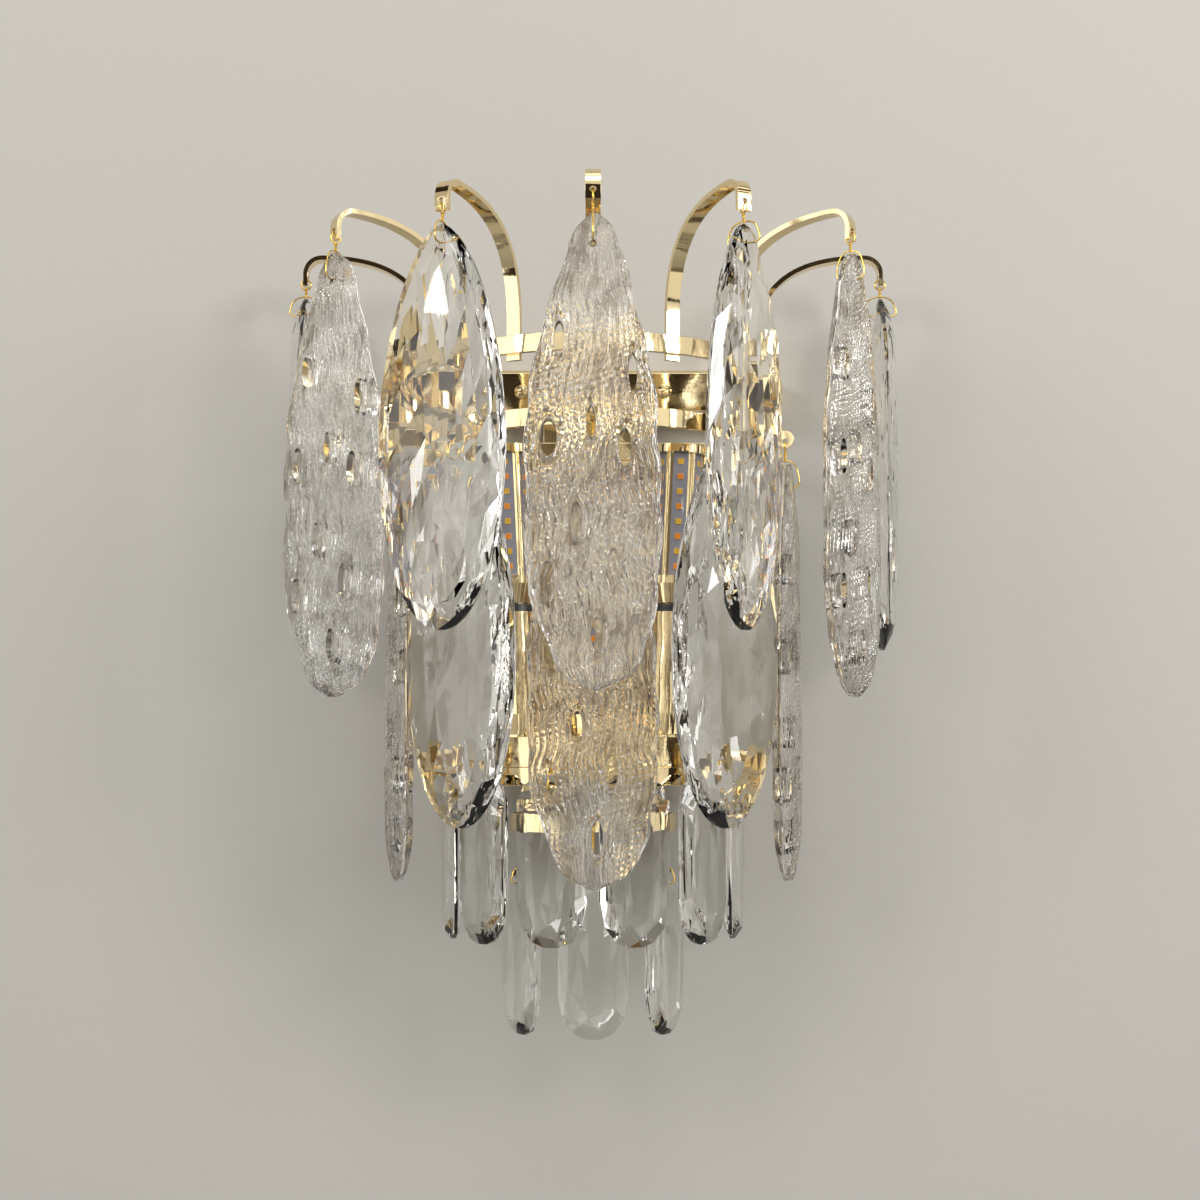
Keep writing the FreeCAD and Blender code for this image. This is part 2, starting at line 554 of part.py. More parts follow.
def cup_shell(bore):
    """Shallow flared cup on its washer, with a bore through both."""
    low, high = CUP_RADIUS - CUP_FLARE, CUP_RADIUS
    outer = Part.makeCone(low, high, CUP_HEIGHT)
    inner = Part.makeCone(low - CUP_WALL, high - CUP_WALL, CUP_HEIGHT, V(0, 0, CUP_FLOOR))
    washer = cylinder(bore + WASHER_RIM, WASHER_HEIGHT, V(0, 0, -WASHER_HEIGHT))
    through = cylinder(bore, CUP_FLOOR + WASHER_HEIGHT + 2, V(0, 0, -WASHER_HEIGHT - 1))
    return outer.cut(inner).fuse(washer).cut(through).removeSplitter()


def stemmed_cup():
    """Cup of a side lamp, with the hollow threaded stem that goes through the tray."""
    length = STEM_BELOW + TRAY_WALL + WASHER_HEIGHT + CUP_FLOOR
    foot = V(0, 0, CUP_FLOOR - length)
    stem = cylinder(STEM_RADIUS, length, foot).cut(cylinder(STEM_BORE, length, foot))
    return cup_shell(STEM_RADIUS).fuse(stem).removeSplitter()


def clamp_nut(bore, across):
    """Hexagon nut that clamps a stem or the low holder under the tray."""
    reach = across / math.sqrt(3)
    z = -WASHER_HEIGHT - TRAY_WALL - NUT_HEIGHT
    corners = [V(reach * math.cos(math.pi * k / 3), reach * math.sin(math.pi * k / 3), z) for k in range(7)]
    nut = Part.Face(Part.makePolygon(corners)).extrude(V(0, 0, NUT_HEIGHT))
    return nut.cut(cylinder(bore + THREAD_PLAY, NUT_HEIGHT + 2, V(0, 0, z - 1)))


def sleeve():
    """Candle sleeve: a thin polished tube that stands in the cup."""
    foot = V(0, 0, CUP_FLOOR)
    tall = CUP_HEIGHT - CUP_FLOOR + SLEEVE_RISE
    outer = cylinder(SLEEVE_RADIUS, tall, foot)
    return outer.cut(cylinder(SLEEVE_RADIUS - SLEEVE_WALL, tall, foot))


def holder(rim_z, body_radius):
    """Lampholder: a black body with a rim that caps the sleeve, bored for the bulb's screw."""
    rim = cylinder(HOLDER_RIM_RADIUS, HOLDER_RIM_HEIGHT, V(0, 0, rim_z))
    body = cylinder(body_radius, HOLDER_DEPTH, V(0, 0, rim_z - HOLDER_DEPTH))
    bore = cylinder(HOLDER_BORE, THREAD_LENGTH + HOLDER_RIM_HEIGHT + 1, V(0, 0, rim_z - THREAD_LENGTH))
    return rim.fuse(body).cut(bore).removeSplitter()


def bulb_body(seat_z):
    """Screw base, flared ferrule, hexagonal core with its rods, and the two end caps."""
    z = seat_z + HOLDER_RIM_HEIGHT + SEAT_PLAY
    contact_room = 0.3
    thread_top = z
    thread_foot = seat_z - THREAD_LENGTH + CONTACT_HEIGHT + contact_room
    pieces = [cylinder(THREAD_RADIUS, thread_top - thread_foot, V(0, 0, thread_foot)),
              Part.makeCone(CONTACT_RADIUS, CONTACT_RADIUS + 1.5, CONTACT_HEIGHT,
                            V(0, 0, thread_foot - CONTACT_HEIGHT)),
              Part.makeCone(FERRULE_LOW, FERRULE_HIGH, FERRULE_HEIGHT, V(0, 0, z))]
    z += FERRULE_HEIGHT
    pieces.append(cylinder(CAP_RADIUS, CAP_HEIGHT, V(0, 0, z)))
    z += CAP_HEIGHT
    pieces.append(hexagon(CORE_APOTHEM, CORE_HEIGHT, z))
    rod_circle = CAP_RADIUS - ROD_RADIUS - 0.2
    for side in range(BOARD_SIDES):
        t = math.pi / 3 * side
        foot = V(rod_circle * math.cos(t), rod_circle * math.sin(t), z)
        pieces.append(cylinder(ROD_RADIUS, CORE_HEIGHT, foot))
    z += CORE_HEIGHT
    pieces.append(cylinder(CAP_RADIUS, CAP_HEIGHT, V(0, 0, z)))
    body = pieces[0]
    for piece in pieces[1:]:
        body = body.fuse(piece)
    return body.removeSplitter()


def hexagon(apothem, height, z):
    r = apothem / math.cos(math.pi / 6)
    corners = [V(r * math.cos(math.pi / 3 * k), r * math.sin(math.pi / 3 * k), z) for k in range(7)]
    return Part.Face(Part.makePolygon(corners)).extrude(V(0, 0, height))


def led_boards(seat_z):
    """Six narrow circuit boards round the core, each with a row of square chips."""
    foot = seat_z + HOLDER_RIM_HEIGHT + SEAT_PLAY + FERRULE_HEIGHT + CAP_HEIGHT
    boards = []
    y = -CORE_APOTHEM
    for side in range(BOARD_SIDES):
        board = box(-BOARD_WIDTH / 2, BOARD_WIDTH / 2, y - BOARD_THICKNESS, y, foot, foot + CORE_HEIGHT)
        for chip in range(CHIPS_A_BOARD):
            z = foot + CORE_HEIGHT / 2 + (chip - (CHIPS_A_BOARD - 1) / 2) * CHIP_PITCH
            c = CHIP_SIZE / 2
            face = y - BOARD_THICKNESS
            board = board.fuse(box(-c, c, face - CHIP_HEIGHT, face, z - c, z + c))
        board.rotate(ORIGIN, UP, 60 * side)
        boards.append(board)
    return boards


def at_lamp(shape, side):
    """Stand a lamp piece drawn about the foot of its cup on the tray."""
    piece = shape.copy()
    piece.translate(V(side * LAMP_X, -RING_AXIS_FROM_WALL - LAMP_OUT, TRAY_TOP_Z + WASHER_HEIGHT))
    return piece


def leaned(shape, side):
    """Lean a lamp piece outwards on the floor of its cup, then stand it on the tray."""
    piece = shape.copy()
    piece.rotate(V(0, 0, CUP_FLOOR), V(0, 1, 0), side * LAMP_TILT)
    piece.translate(V(0, 0, abs(side) * SLEEVE_RADIUS * math.sin(math.radians(LAMP_TILT))))
    return at_lamp(piece, side)


def hung(shape, radius, hinge_z, bearing):
    """Place a piece drawn about its hinge."""
    piece = shape.copy()
    piece.translate(V(0, -RING_AXIS_FROM_WALL - radius, hinge_z))
    return turned(piece, bearing)


# tier, place, shape, bearing on the ring, and how far each glass has turned on its wire
GLASS = (
    (1, "far_left", "drop", -90, 0), (1, "left", "bark", -55, 22), (1, "front_left", "drop", -27, 7),
    (1, "front", "bark", 0, 0), (1, "front_right", "drop", 27, 27), (1, "right", "bark", 55, 5),
    (1, "far_right", "drop", 90, 0),
    (2, "far_left", "bark", -77.5, 0), (2, "left", "drop", -39, 8), (2, "front", "bark", 0, 0),
    (2, "right", "drop", 39, -6), (2, "far_right", "bark", 77.5, 0),
    (3, "far_left", "prism", -80, 0), (3, "left", "prism", -48, 0), (3, "front_left", "prism", -16, 0),
    (3, "front_right", "prism", 16, 0), (3, "right", "prism", 48, 0), (3, "far_right", "prism", 80, 0),
    (4, "left", "prism", -58, 0), (4, "front", "prism", 0, 0), (4, "right", "prism", 58, 0),
)
TIERS = {
    1: (ARM_TIP_RADIUS, TIER_1_HINGE_Z, TIER_1_GLASS_BELOW_HINGE, False),
    2: (TIER_2_RADIUS, TIER_2_HOLE_Z, TIER_2_GLASS_BELOW_HINGE, True),
    3: (TIER_3_RADIUS, TIER_3_HOLE_Z, TIER_3_GLASS_BELOW_HINGE, True),
    4: (RING_4_RADIUS, TIER_4_HINGE_Z, TIER_4_GLASS_BELOW_HINGE, False),
}


def build_glass():
    sizes = {"bark": BARK, "drop": DROP, "prism": PRISM}
    blanks = {"bark": bark_glass(BARK), "drop": faceted(drop_outline(DROP), DROP, DROP_ROWS),
              "prism": faceted(prism_outline(PRISM), PRISM, PRISM_ROWS)}
    wires = {}
    for tier, place, kind, bearing, yaw in GLASS:
        radius, hinge_z, below, across = TIERS[tier]
        glass = blanks[kind].copy()
        glass.rotate(ORIGIN, UP, yaw)
        glass.translate(V(0, 0, -below))
        save("tier_%d_%s_%s" % (tier, kind, place), [hung(glass, radius, hinge_z, bearing)])
        if (tier, kind, yaw) not in wires:
            wires[(tier, kind, yaw)] = hanger(sizes[kind], below, across, yaw)
        save("tier_%d_wire_%s" % (tier, place), [hung(wires[(tier, kind, yaw)], radius, hinge_z, bearing)])


def build_frame():
    save("mounting_bracket", [mounting_bracket()])
    save("wall_canopy", [canopy()])
    save("canopy_screws", [canopy_screw(side) for side in (-1, 1)])
    save("terminal_block", [terminal_block()])
    save("spine_plate", [spine_plate()])
    save("lamp_tray", [lamp_tray()])
    save("ring_1", [open_ring(RING_1_RADIUS, RING_1_Z, -CANOPY_DEPTH)])
    save("ring_2", [d_ring(RING_2_RADIUS, RING_2_Z, SPINE_FRONT_Y)])
    save("ring_3", [d_ring(RING_3_RADIUS, RING_3_Z, SPINE_FRONT_Y)])
    save("ring_4", [ring_with_holes()])
    save("top_arms", [turned(arm(), bearing) for bearing in ARM_BEARINGS])
    upper_tab = tab(RING_2_RADIUS, TIER_2_RADIUS, TIER_2_HOLE_Z)
    lower_tab = tab(RING_3_RADIUS, TIER_3_RADIUS, TIER_3_HOLE_Z)
    tabs = [turned(upper_tab, bearing) for bearing in TIER_2_BEARINGS]
    save("hanging_tabs", tabs + [turned(lower_tab, bearing) for bearing in TIER_3_BEARINGS])


def build_lamps():
    sides = (-1, 0, 1)
    tall_rim = CUP_HEIGHT + SLEEVE_RISE
    rims = {-1: tall_rim, 0: CUP_HEIGHT, 1: tall_rim}
    cups = {-1: stemmed_cup(), 0: cup_shell(LOW_HOLDER_RADIUS + SEAT_PLAY), 1: stemmed_cup()}
    nuts = {side: clamp_nut(STEM_RADIUS, STEM_NUT_ACROSS) for side in (-1, 1)}
    nuts[0] = clamp_nut(LOW_HOLDER_RADIUS, HOLDER_NUT_ACROSS)
    in_sleeve = SLEEVE_RADIUS - SLEEVE_WALL - SEAT_PLAY
    bodies = {-1: in_sleeve, 0: LOW_HOLDER_RADIUS, 1: in_sleeve}
    save("lamp_cups", [at_lamp(cups[side], side) for side in sides])
    save("clamp_nuts", [at_lamp(nuts[side], side) for side in sides])
    save("candle_sleeves", [leaned(sleeve(), side) for side in (-1, 1)])
    save("lampholders", [leaned(holder(rims[side], bodies[side]), side) for side in sides])
    save("bulb_bodies", [leaned(bulb_body(rims[side]), side) for side in sides])
    save("led_boards", [leaned(board, side) for side in sides for board in led_boards(rims[side])])


os.makedirs("parts", exist_ok=True)
build_frame()
build_lamps()
build_glass()
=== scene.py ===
"""Dresses the crystal wall sconce: polished gilt strips, cast and cut glass, LED lamps.

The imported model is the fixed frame. Lengths inside this file are millimetres until a
mesh is made, and bearings count about the ring axis: 0 faces the viewer.
"""

import bmesh
import bpy
import json
import math
import numpy as np
from bpy.props import FloatProperty, FloatVectorProperty, PointerProperty
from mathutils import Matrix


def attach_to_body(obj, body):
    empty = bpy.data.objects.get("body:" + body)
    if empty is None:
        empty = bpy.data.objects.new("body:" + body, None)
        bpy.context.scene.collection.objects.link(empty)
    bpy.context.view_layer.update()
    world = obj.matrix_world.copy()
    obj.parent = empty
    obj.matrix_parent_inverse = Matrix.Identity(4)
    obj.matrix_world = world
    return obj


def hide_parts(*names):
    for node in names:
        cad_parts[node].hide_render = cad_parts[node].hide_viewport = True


bl_info = {
    "name": "Crystal Wall Sconce",
    "version": (1, 0, 0),
    "blender": (4, 5, 0),
    "location": "View3D > Sidebar > Sconce",
    "description": "Dresses a wall sconce with gilt strips, hanging glass and lamps",
    "category": "Object",
}

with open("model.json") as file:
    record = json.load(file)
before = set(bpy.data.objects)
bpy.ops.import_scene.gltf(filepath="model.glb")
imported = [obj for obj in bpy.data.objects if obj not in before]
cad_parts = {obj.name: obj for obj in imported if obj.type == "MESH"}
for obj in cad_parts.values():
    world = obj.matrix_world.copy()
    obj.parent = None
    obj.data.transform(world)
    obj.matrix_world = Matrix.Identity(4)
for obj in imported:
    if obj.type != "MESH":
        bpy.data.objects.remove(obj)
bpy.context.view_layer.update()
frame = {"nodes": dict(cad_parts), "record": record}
MM = 0.001
JOINTS = {joint["child"]: joint for joint in frame["record"]["behaviour"]["joints"]}

# how far each glass hangs below its hinge, by tier, and how far some have turned
GLASS_BELOW_HINGE = {1: 8.2, 2: 12.0, 3: 10.5, 4: 21.5}
GLASS_YAW = {"tier_1_left": 22, "tier_1_front_left": 7, "tier_1_front_right": 27, "tier_1_right": 5,
             "tier_2_left": 8, "tier_2_right": -6}
BARK = {"length": 226.0, "width": 67.0, "thickness": 13.0, "hole_drop": 15.0}
DROP = {"length": 196.0, "width": 67.0, "thickness": 16.0, "hole_drop": 11.0}
PRISM = {"length": 88.0, "width": 37.0, "thickness": 11.0, "hole_drop": 9.0}
SIZES = {"bark": BARK, "drop": DROP, "prism": PRISM}
HOLE_RADIUS = 1.7
PALE_WALL = (0.60, 0.572, 0.525)


# ---------------------------------------------------------------- shader expressions

class Value:
    """A socket that takes part in Python arithmetic by adding Math nodes."""

    def __init__(self, nodes, socket):
        self.nodes = nodes
        self.socket = socket

    def math(self, operation, other):
        node = self.nodes.node("ShaderNodeMath", {"operation": operation}, i0=self, i1=other)
        return Value(self.nodes, node.outputs[0])

    def __add__(self, other):
        return self.math("ADD", other)

    def __sub__(self, other):
        return self.math("SUBTRACT", other)

    def __mul__(self, other):
        return self.math("MULTIPLY", other)

    def limited(self):
        node = self.nodes.node("ShaderNodeClamp", {}, i0=self)
        return Value(self.nodes, node.outputs[0])


class Nodes:
    """An empty node tree, with one method that adds every kind of node."""

    def __init__(self, owner):
        owner.use_nodes = True
        self.tree = owner.node_tree
        self.tree.nodes.clear()

    def node(self, kind, settings=None, **inputs):
        """Adds a node, makes its settings, then sets or links its sockets by name or number.

        A ramp's stops are (position, colour) pairs, with no blend from one to the next.
        """
        made = self.tree.nodes.new(kind)
        for key, value in (settings or {}).items():
            if key == "stops":
                made.color_ramp.interpolation = "CONSTANT"
                for _ in value[2:]:
                    made.color_ramp.elements.new(0.5)
                for element, (position, colour) in zip(made.color_ramp.elements, value):
                    element.position = position
                    element.color = colour
            else:
                setattr(made, key, value)
        for key, value in inputs.items():
            numbered = key[0] == "i" and key[1:].isdigit()
            self.set(made.inputs[int(key[1:]) if numbered else key.replace("_", " ")], value)
        return made

    def set(self, socket, value):
        if isinstance(value, Value):
            self.tree.links.new(value.socket, socket)
        elif isinstance(value, bpy.types.NodeSocket):
            self.tree.links.new(value, socket)
        else:
            socket.default_value = value


class Shader(Nodes):
    """A material under construction."""

    def __init__(self, name):
        self.material = bpy.data.materials.new(name)
        super().__init__(self.material)
        self.output = self.node("ShaderNodeOutputMaterial")
        self.surface = self.node("ShaderNodeBsdfPrincipled")
        self.show(self.surface)
        self.place = Value(self, self.node("ShaderNodeTexCoord").outputs["Object"])

    def show(self, node):
        self.tree.links.new(node.outputs[0], self.output.inputs["Surface"])

    def finish(self, **inputs):
        for key, value in inputs.items():
            self.set(self.surface.inputs[key.replace("_", " ")], value)
        return self.material

    def noise(self, scale, detail=2.0, rough=0.5, place=None):
        """Noise over the object's own coordinates, or over a place made from them."""
        node = self.node("ShaderNodeTexNoise", {}, Vector=place or self.place, Scale=scale, Detail=detail,
                         Roughness=rough)
        return Value(self, node.outputs[0])

    def blend(self, factor, first, second):
        """Colour between two colours."""
        node = self.node("ShaderNodeMix", {"data_type": "RGBA"}, i0=factor, i6=first, i7=second)
        return node.outputs[2]

    def bump(self, height, strength, distance):
        node = self.node("ShaderNodeBump", {}, Height=height, Strength=strength, Distance=distance)
        return node.outputs[0]


def gilt(name, colour, roughness, ripple):
    """Polished plate: faint tone change, hairline wear, and a ripple that bends reflections."""
    shader = Shader(name)
    tone = shader.noise(38.0, 3.0)
    wear = shader.noise(420.0, 4.0, 0.7)
    darker_colour = [c * 0.86 for c in colour[:3]] + [1.0]
    waves = shader.noise(55.0, 1.0) + shader.noise(900.0, 2.0) * 0.04
    return shader.finish(
        Base_Color=shader.blend(tone, darker_colour, list(colour[:3]) + [1.0]), Metallic=1.0,
        Roughness=(wear * 0.05 + (roughness - 0.02)).limited(),
        Normal=shader.bump(waves, 0.35, ripple))


def clear_glass(name, roughness, tint, grain, grain_scale, painted_streak_shade):
    """Clear glass darkened in upright streaks by the share given: painted shade standing in for the dark
    refractions of its ridges.

    Shadow rays and rays off matt surfaces pass it with a little loss.
    """
    shader = Shader(name)
    haze = shader.noise(260.0, 3.0)
    tall = shader.node("ShaderNodeMapping", {}, Vector=shader.place, Scale=(330.0, 330.0, 85.0))
    upright = shader.noise(1.0, place=tall.outputs[0]) + shader.noise(30.0) * 0.5
    # painted shade: where this mask is low, the glass colour is darker in upright streaks, standing in for
    # dark refractions
    unshaded_part = ((upright - 0.63) * 9.0).limited()
    darker_colour = [c * (1.0 - painted_streak_shade * fade) for c, fade in zip(tint[:3], (0.86, 0.94, 1.0))] + [1.0]
    shader.finish(Base_Color=shader.blend(unshaded_part, darker_colour, list(tint[:3]) + [1.0]), IOR=1.52,
                  Transmission_Weight=1.0, Roughness=(haze * roughness).limited(),
                  Normal=shader.bump(shader.noise(grain_scale, 2.0, 0.6), 0.5, grain))
    clear = shader.node("ShaderNodeBsdfTransparent", {}, Color=[0.80, 0.81, 0.80, 1.0])
    light = shader.node("ShaderNodeLightPath")
    passing = Value(shader, light.outputs["Is Shadow Ray"]).math("MAXIMUM", light.outputs["Is Diffuse Ray"])
    mix = shader.node("ShaderNodeMixShader", {}, i0=passing, i1=shader.surface.outputs[0],
                      i2=clear.outputs[0])
    shader.show(mix)
    return shader.material


def plain(name, colour, roughness, speckle=0.1, coat=0.0, metallic=0.0):
    """Moulded or plated surface with a faint mottle and a fine grain."""
    shader = Shader(name)
    mottle = shader.noise(180.0, 3.0)
    dark = [c * (1.0 - speckle) for c in colour[:3]] + [1.0]
    return shader.finish(
        Base_Color=shader.blend(mottle, dark, list(colour[:3]) + [1.0]), Metallic=metallic,
        Roughness=(mottle * 0.15 + (roughness - 0.07)).limited(), Coat_Weight=coat,
        Normal=shader.bump(shader.noise(1500.0, 2.0), 0.15, 0.00008))


# ---------------------------------------------------------------- mesh helpers

def new_piece(name, points, faces, materials, smooth=True, slots=None):
    """Puts whole arrays into a mesh: points in millimetres, faces as arrays of equal size."""
    mesh = bpy.data.meshes.new(name)
    points = np.asarray(points, dtype=np.float64) * MM
    loops = np.concatenate([f.ravel() for f in faces]).astype(np.int32)
    totals = np.concatenate([np.full(len(f), f.shape[1]) for f in faces])
    starts = (np.cumsum(totals) - totals).astype(np.int32)
    mesh.vertices.add(len(points))
    mesh.vertices.foreach_set("co", points.astype(np.float32).ravel())
    mesh.loops.add(len(loops))
    mesh.loops.foreach_set("vertex_index", loops)
    mesh.polygons.add(len(totals))
    mesh.polygons.foreach_set("loop_start", starts)
    mesh.polygons.foreach_set("use_smooth", np.full(len(totals), smooth, dtype=bool))
    for material in materials:
        mesh.materials.append(material)
    if slots is not None:
        mesh.polygons.foreach_set("material_index", slots.astype(np.int32))
    mesh.update(calc_edges=True)
    mesh.validate()
    piece = bpy.data.objects.new(name, mesh)
    bpy.context.scene.collection.objects.link(piece)
    return piece


def hung(points, body, yaw):
    """Places points drawn about a hinge: turned by yaw and bearing, then moved to the hinge."""
    joint = JOINTS[body]
    bearing = math.atan2(-joint["axis"][1], -joint["axis"][0]) + math.radians(yaw)
    c, s = math.cos(bearing), math.sin(bearing)
    x, y, z = points[:, 0], points[:, 1], points[:, 2]
    px, py, pz = [v / MM for v in joint["pos_m"]]
    return np.stack([c * x - s * y + px, s * x + c * y + py, z + pz], axis=1)


def tier_of(name):
    """Number in the name of a body or node of one of the tiers."""
    return int(name.split("_")[1])


def attach(piece, body, node):
    """Puts a piece on its body in the place of a node."""
    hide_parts(node)
    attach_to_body(piece, body)


def polished(node, body, material, bevel):
    """A CAD node's merged copy with clean flats, bevelled edges and smooth rounds."""
    source = frame["nodes"][node]
    mesh = source.data.copy()
    bm = bmesh.new()
    bm.from_mesh(mesh)
    bmesh.ops.remove_doubles(bm, verts=bm.verts, dist=2e-6)
    bmesh.ops.dissolve_limit(bm, angle_limit=math.radians(0.4), verts=bm.verts, edges=bm.edges)
    for face in bm.faces:
        face.smooth = True
    for edge in bm.edges:
        edge.smooth = edge.calc_face_angle(3.0) < math.radians(28)
    bm.to_mesh(mesh)
    bm.free()
    mesh.materials.clear()
    mesh.materials.append(material)
    piece = bpy.data.objects.new("dressed_" + node, mesh)
    bpy.context.scene.collection.objects.link(piece)
    if bevel:
        edges = piece.modifiers.new("edges", "BEVEL")
        edges.width = bevel * MM
        edges.segments = 2
        edges.limit_method = "ANGLE"
        edges.angle_limit = math.radians(40)
        edges.harden_normals = False
    normals = piece.modifiers.new("normals", "WEIGHTED_NORMAL")
    normals.keep_sharp = True
    attach(piece, body, node)


def tube(path, side, radius, steps, closed):
    """Round tube: circle radius * (cos, sin) in the plane of side and tangent x side."""
    if closed:
        tangent = np.roll(path, -1, 0) - np.roll(path, 1, 0)
    else:
        tangent = np.gradient(path, axis=0)
    tangent /= np.linalg.norm(tangent, axis=1, keepdims=True)
    side = np.broadcast_to(side, path.shape)
    side = side - tangent * np.sum(side * tangent, axis=1, keepdims=True)
    side = side / np.linalg.norm(side, axis=1, keepdims=True)
    other = np.cross(tangent, side)
    angle = 2 * np.pi * np.arange(steps) / steps
    ring = radius * (np.cos(angle)[None, :, None] * side[:, None]
                     + np.sin(angle)[None, :, None] * other[:, None])
    points = (path[:, None] + ring).reshape(-1, 3)
    count = len(path)
    rows = np.arange(count if closed else count - 1)[:, None]
    cols = np.arange(steps)[None, :]
    here, ahead = rows * steps, ((rows + 1) % count) * steps
    after = (cols + 1) % steps
    quads = np.stack([here + cols, here + after, ahead + after, ahead + cols], axis=-1).reshape(-1, 4)
    return points, quads


def joined(parts):
    """Joins (points, quads) pairs into one pair."""
    points, quads, base = [], [], 0
    for p, q in parts:
        points.append(p)
        quads.append(q + base)
        base += len(p)
    return np.concatenate(points), np.concatenate(quads)


# ---------------------------------------------------------------- cast glass

# half widths of the cast slab to the left and right, by share of its length
BARK_LEFT = ((0.0, 2.0), (0.02, 7.0), (0.066, 12.5), (0.25, 25.7), (0.36, 31.0), (0.46, 33.3), (0.60, 32.8),
             (0.73, 33.4), (0.80, 30.5), (0.87, 25.7), (0.95, 17.5), (0.985, 11.0), (1.0, 3.0))
BARK_RIGHT = ((0.0, 4.0), (0.018, 9.0), (0.066, 13.5), (0.15, 18.7), (0.36, 30.0), (0.50, 32.0), (0.65, 33.4),
              (0.77, 31.7), (0.87, 29.0), (0.947, 22.0), (0.985, 13.5), (1.0, 5.0))
# the ridges: how far apart, how high, their beads' length, and the back's share of the height
RIDGE_PITCH, RIDGE_HEIGHT, BEAD_LENGTH, BACK_RELIEF = 3.3, 1.5, 3.0, 0.6
# centre across, centre down, half width and half height of each piercing
BARK_HOLES = ((-16.0, 60.0, 2.4, 8.0), (18.7, 76.0, 2.0, 9.0), (-21.0, 107.0, 4.0, 8.8),
              (-1.0, 100.0, 2.0, 8.0), (15.0, 112.0, 3.0, 9.0), (-8.0, 146.0, 2.6, 8.6),
              (9.5, 168.0, 2.6, 8.8), (-21.5, 174.0, 3.4, 8.8), (2.0, 200.0, 2.8, 8.4))


def smooth_edge(table, share):
    """Half width at each share: the table's points joined, then averaged with neighbours."""
    samples, reach = 801, 16
    shares, widths = zip(*table)
    fine = np.linspace(0, 1, samples)
    line = np.interp(fine, shares, widths)
    kernel = np.hanning(2 * reach + 1)
    before, after = line[reach:0:-1], line[-2:-reach - 2:-1]
    padded = np.concatenate([line[0] * 2 - before, line, line[-1] * 2 - after])
    return np.interp(share, fine, np.convolve(padded, kernel / kernel.sum(), "valid"))


def pierced(x, z, holes):
    """Bends a grid so that a block of cells in each hole's place gets the oval's outline.

    The block is a little smaller than the hole, by block_share. norm counts in block sizes
    from the hole's centre. The cells inside norm 1 are dropped, and between norm 1 and
    reach each point is drawn to the oval of its own norm. Also gives each point's distance
    from the nearest hole, in sizes of that hole.
    """
    reach, block_share = 2.1, 0.85
    dropped = np.zeros((x.shape[0] - 1, x.shape[1] - 1), dtype=bool)
    lip = np.full(x.shape, np.inf)
    base_x, base_z = x.copy(), z.copy()
    for hx, hz, a, b in holes:
        near = np.hypot((base_x - hx), (base_z - hz) * 0.5)
        row, col = np.unravel_index(np.argmin(near), x.shape)
        across = abs(base_x[row, col + 1] - base_x[row, col])
        down = abs(base_z[row + 1, col] - base_z[row, col])
        half_cols = max(2, int(round(a * block_share / across)))
        half_rows = max(2, int(round(b * block_share / down)))
        dropped[row - half_rows:row + half_rows, col - half_cols:col + half_cols] = True
        rows = (np.arange(x.shape[0])[:, None] - row) / half_rows
        cols = (np.arange(x.shape[1])[None, :] - col) / half_cols
        norm = np.maximum(abs(rows), abs(cols))
        length = np.hypot(rows, cols) + 1e-9
        weight = np.clip((reach - norm) / (reach - 1), 0, 1)
        weight = weight * weight * (3 - 2 * weight)
        x = x * (1 - weight) + weight * (hx + a * norm * cols / length)
        z = z * (1 - weight) + weight * (hz + b * norm * rows / length)
    for hx, hz, a, b in holes:
        lip = np.minimum(lip, np.hypot((x - hx) / a, (z - hz) / b))
    return x, z, dropped, lip


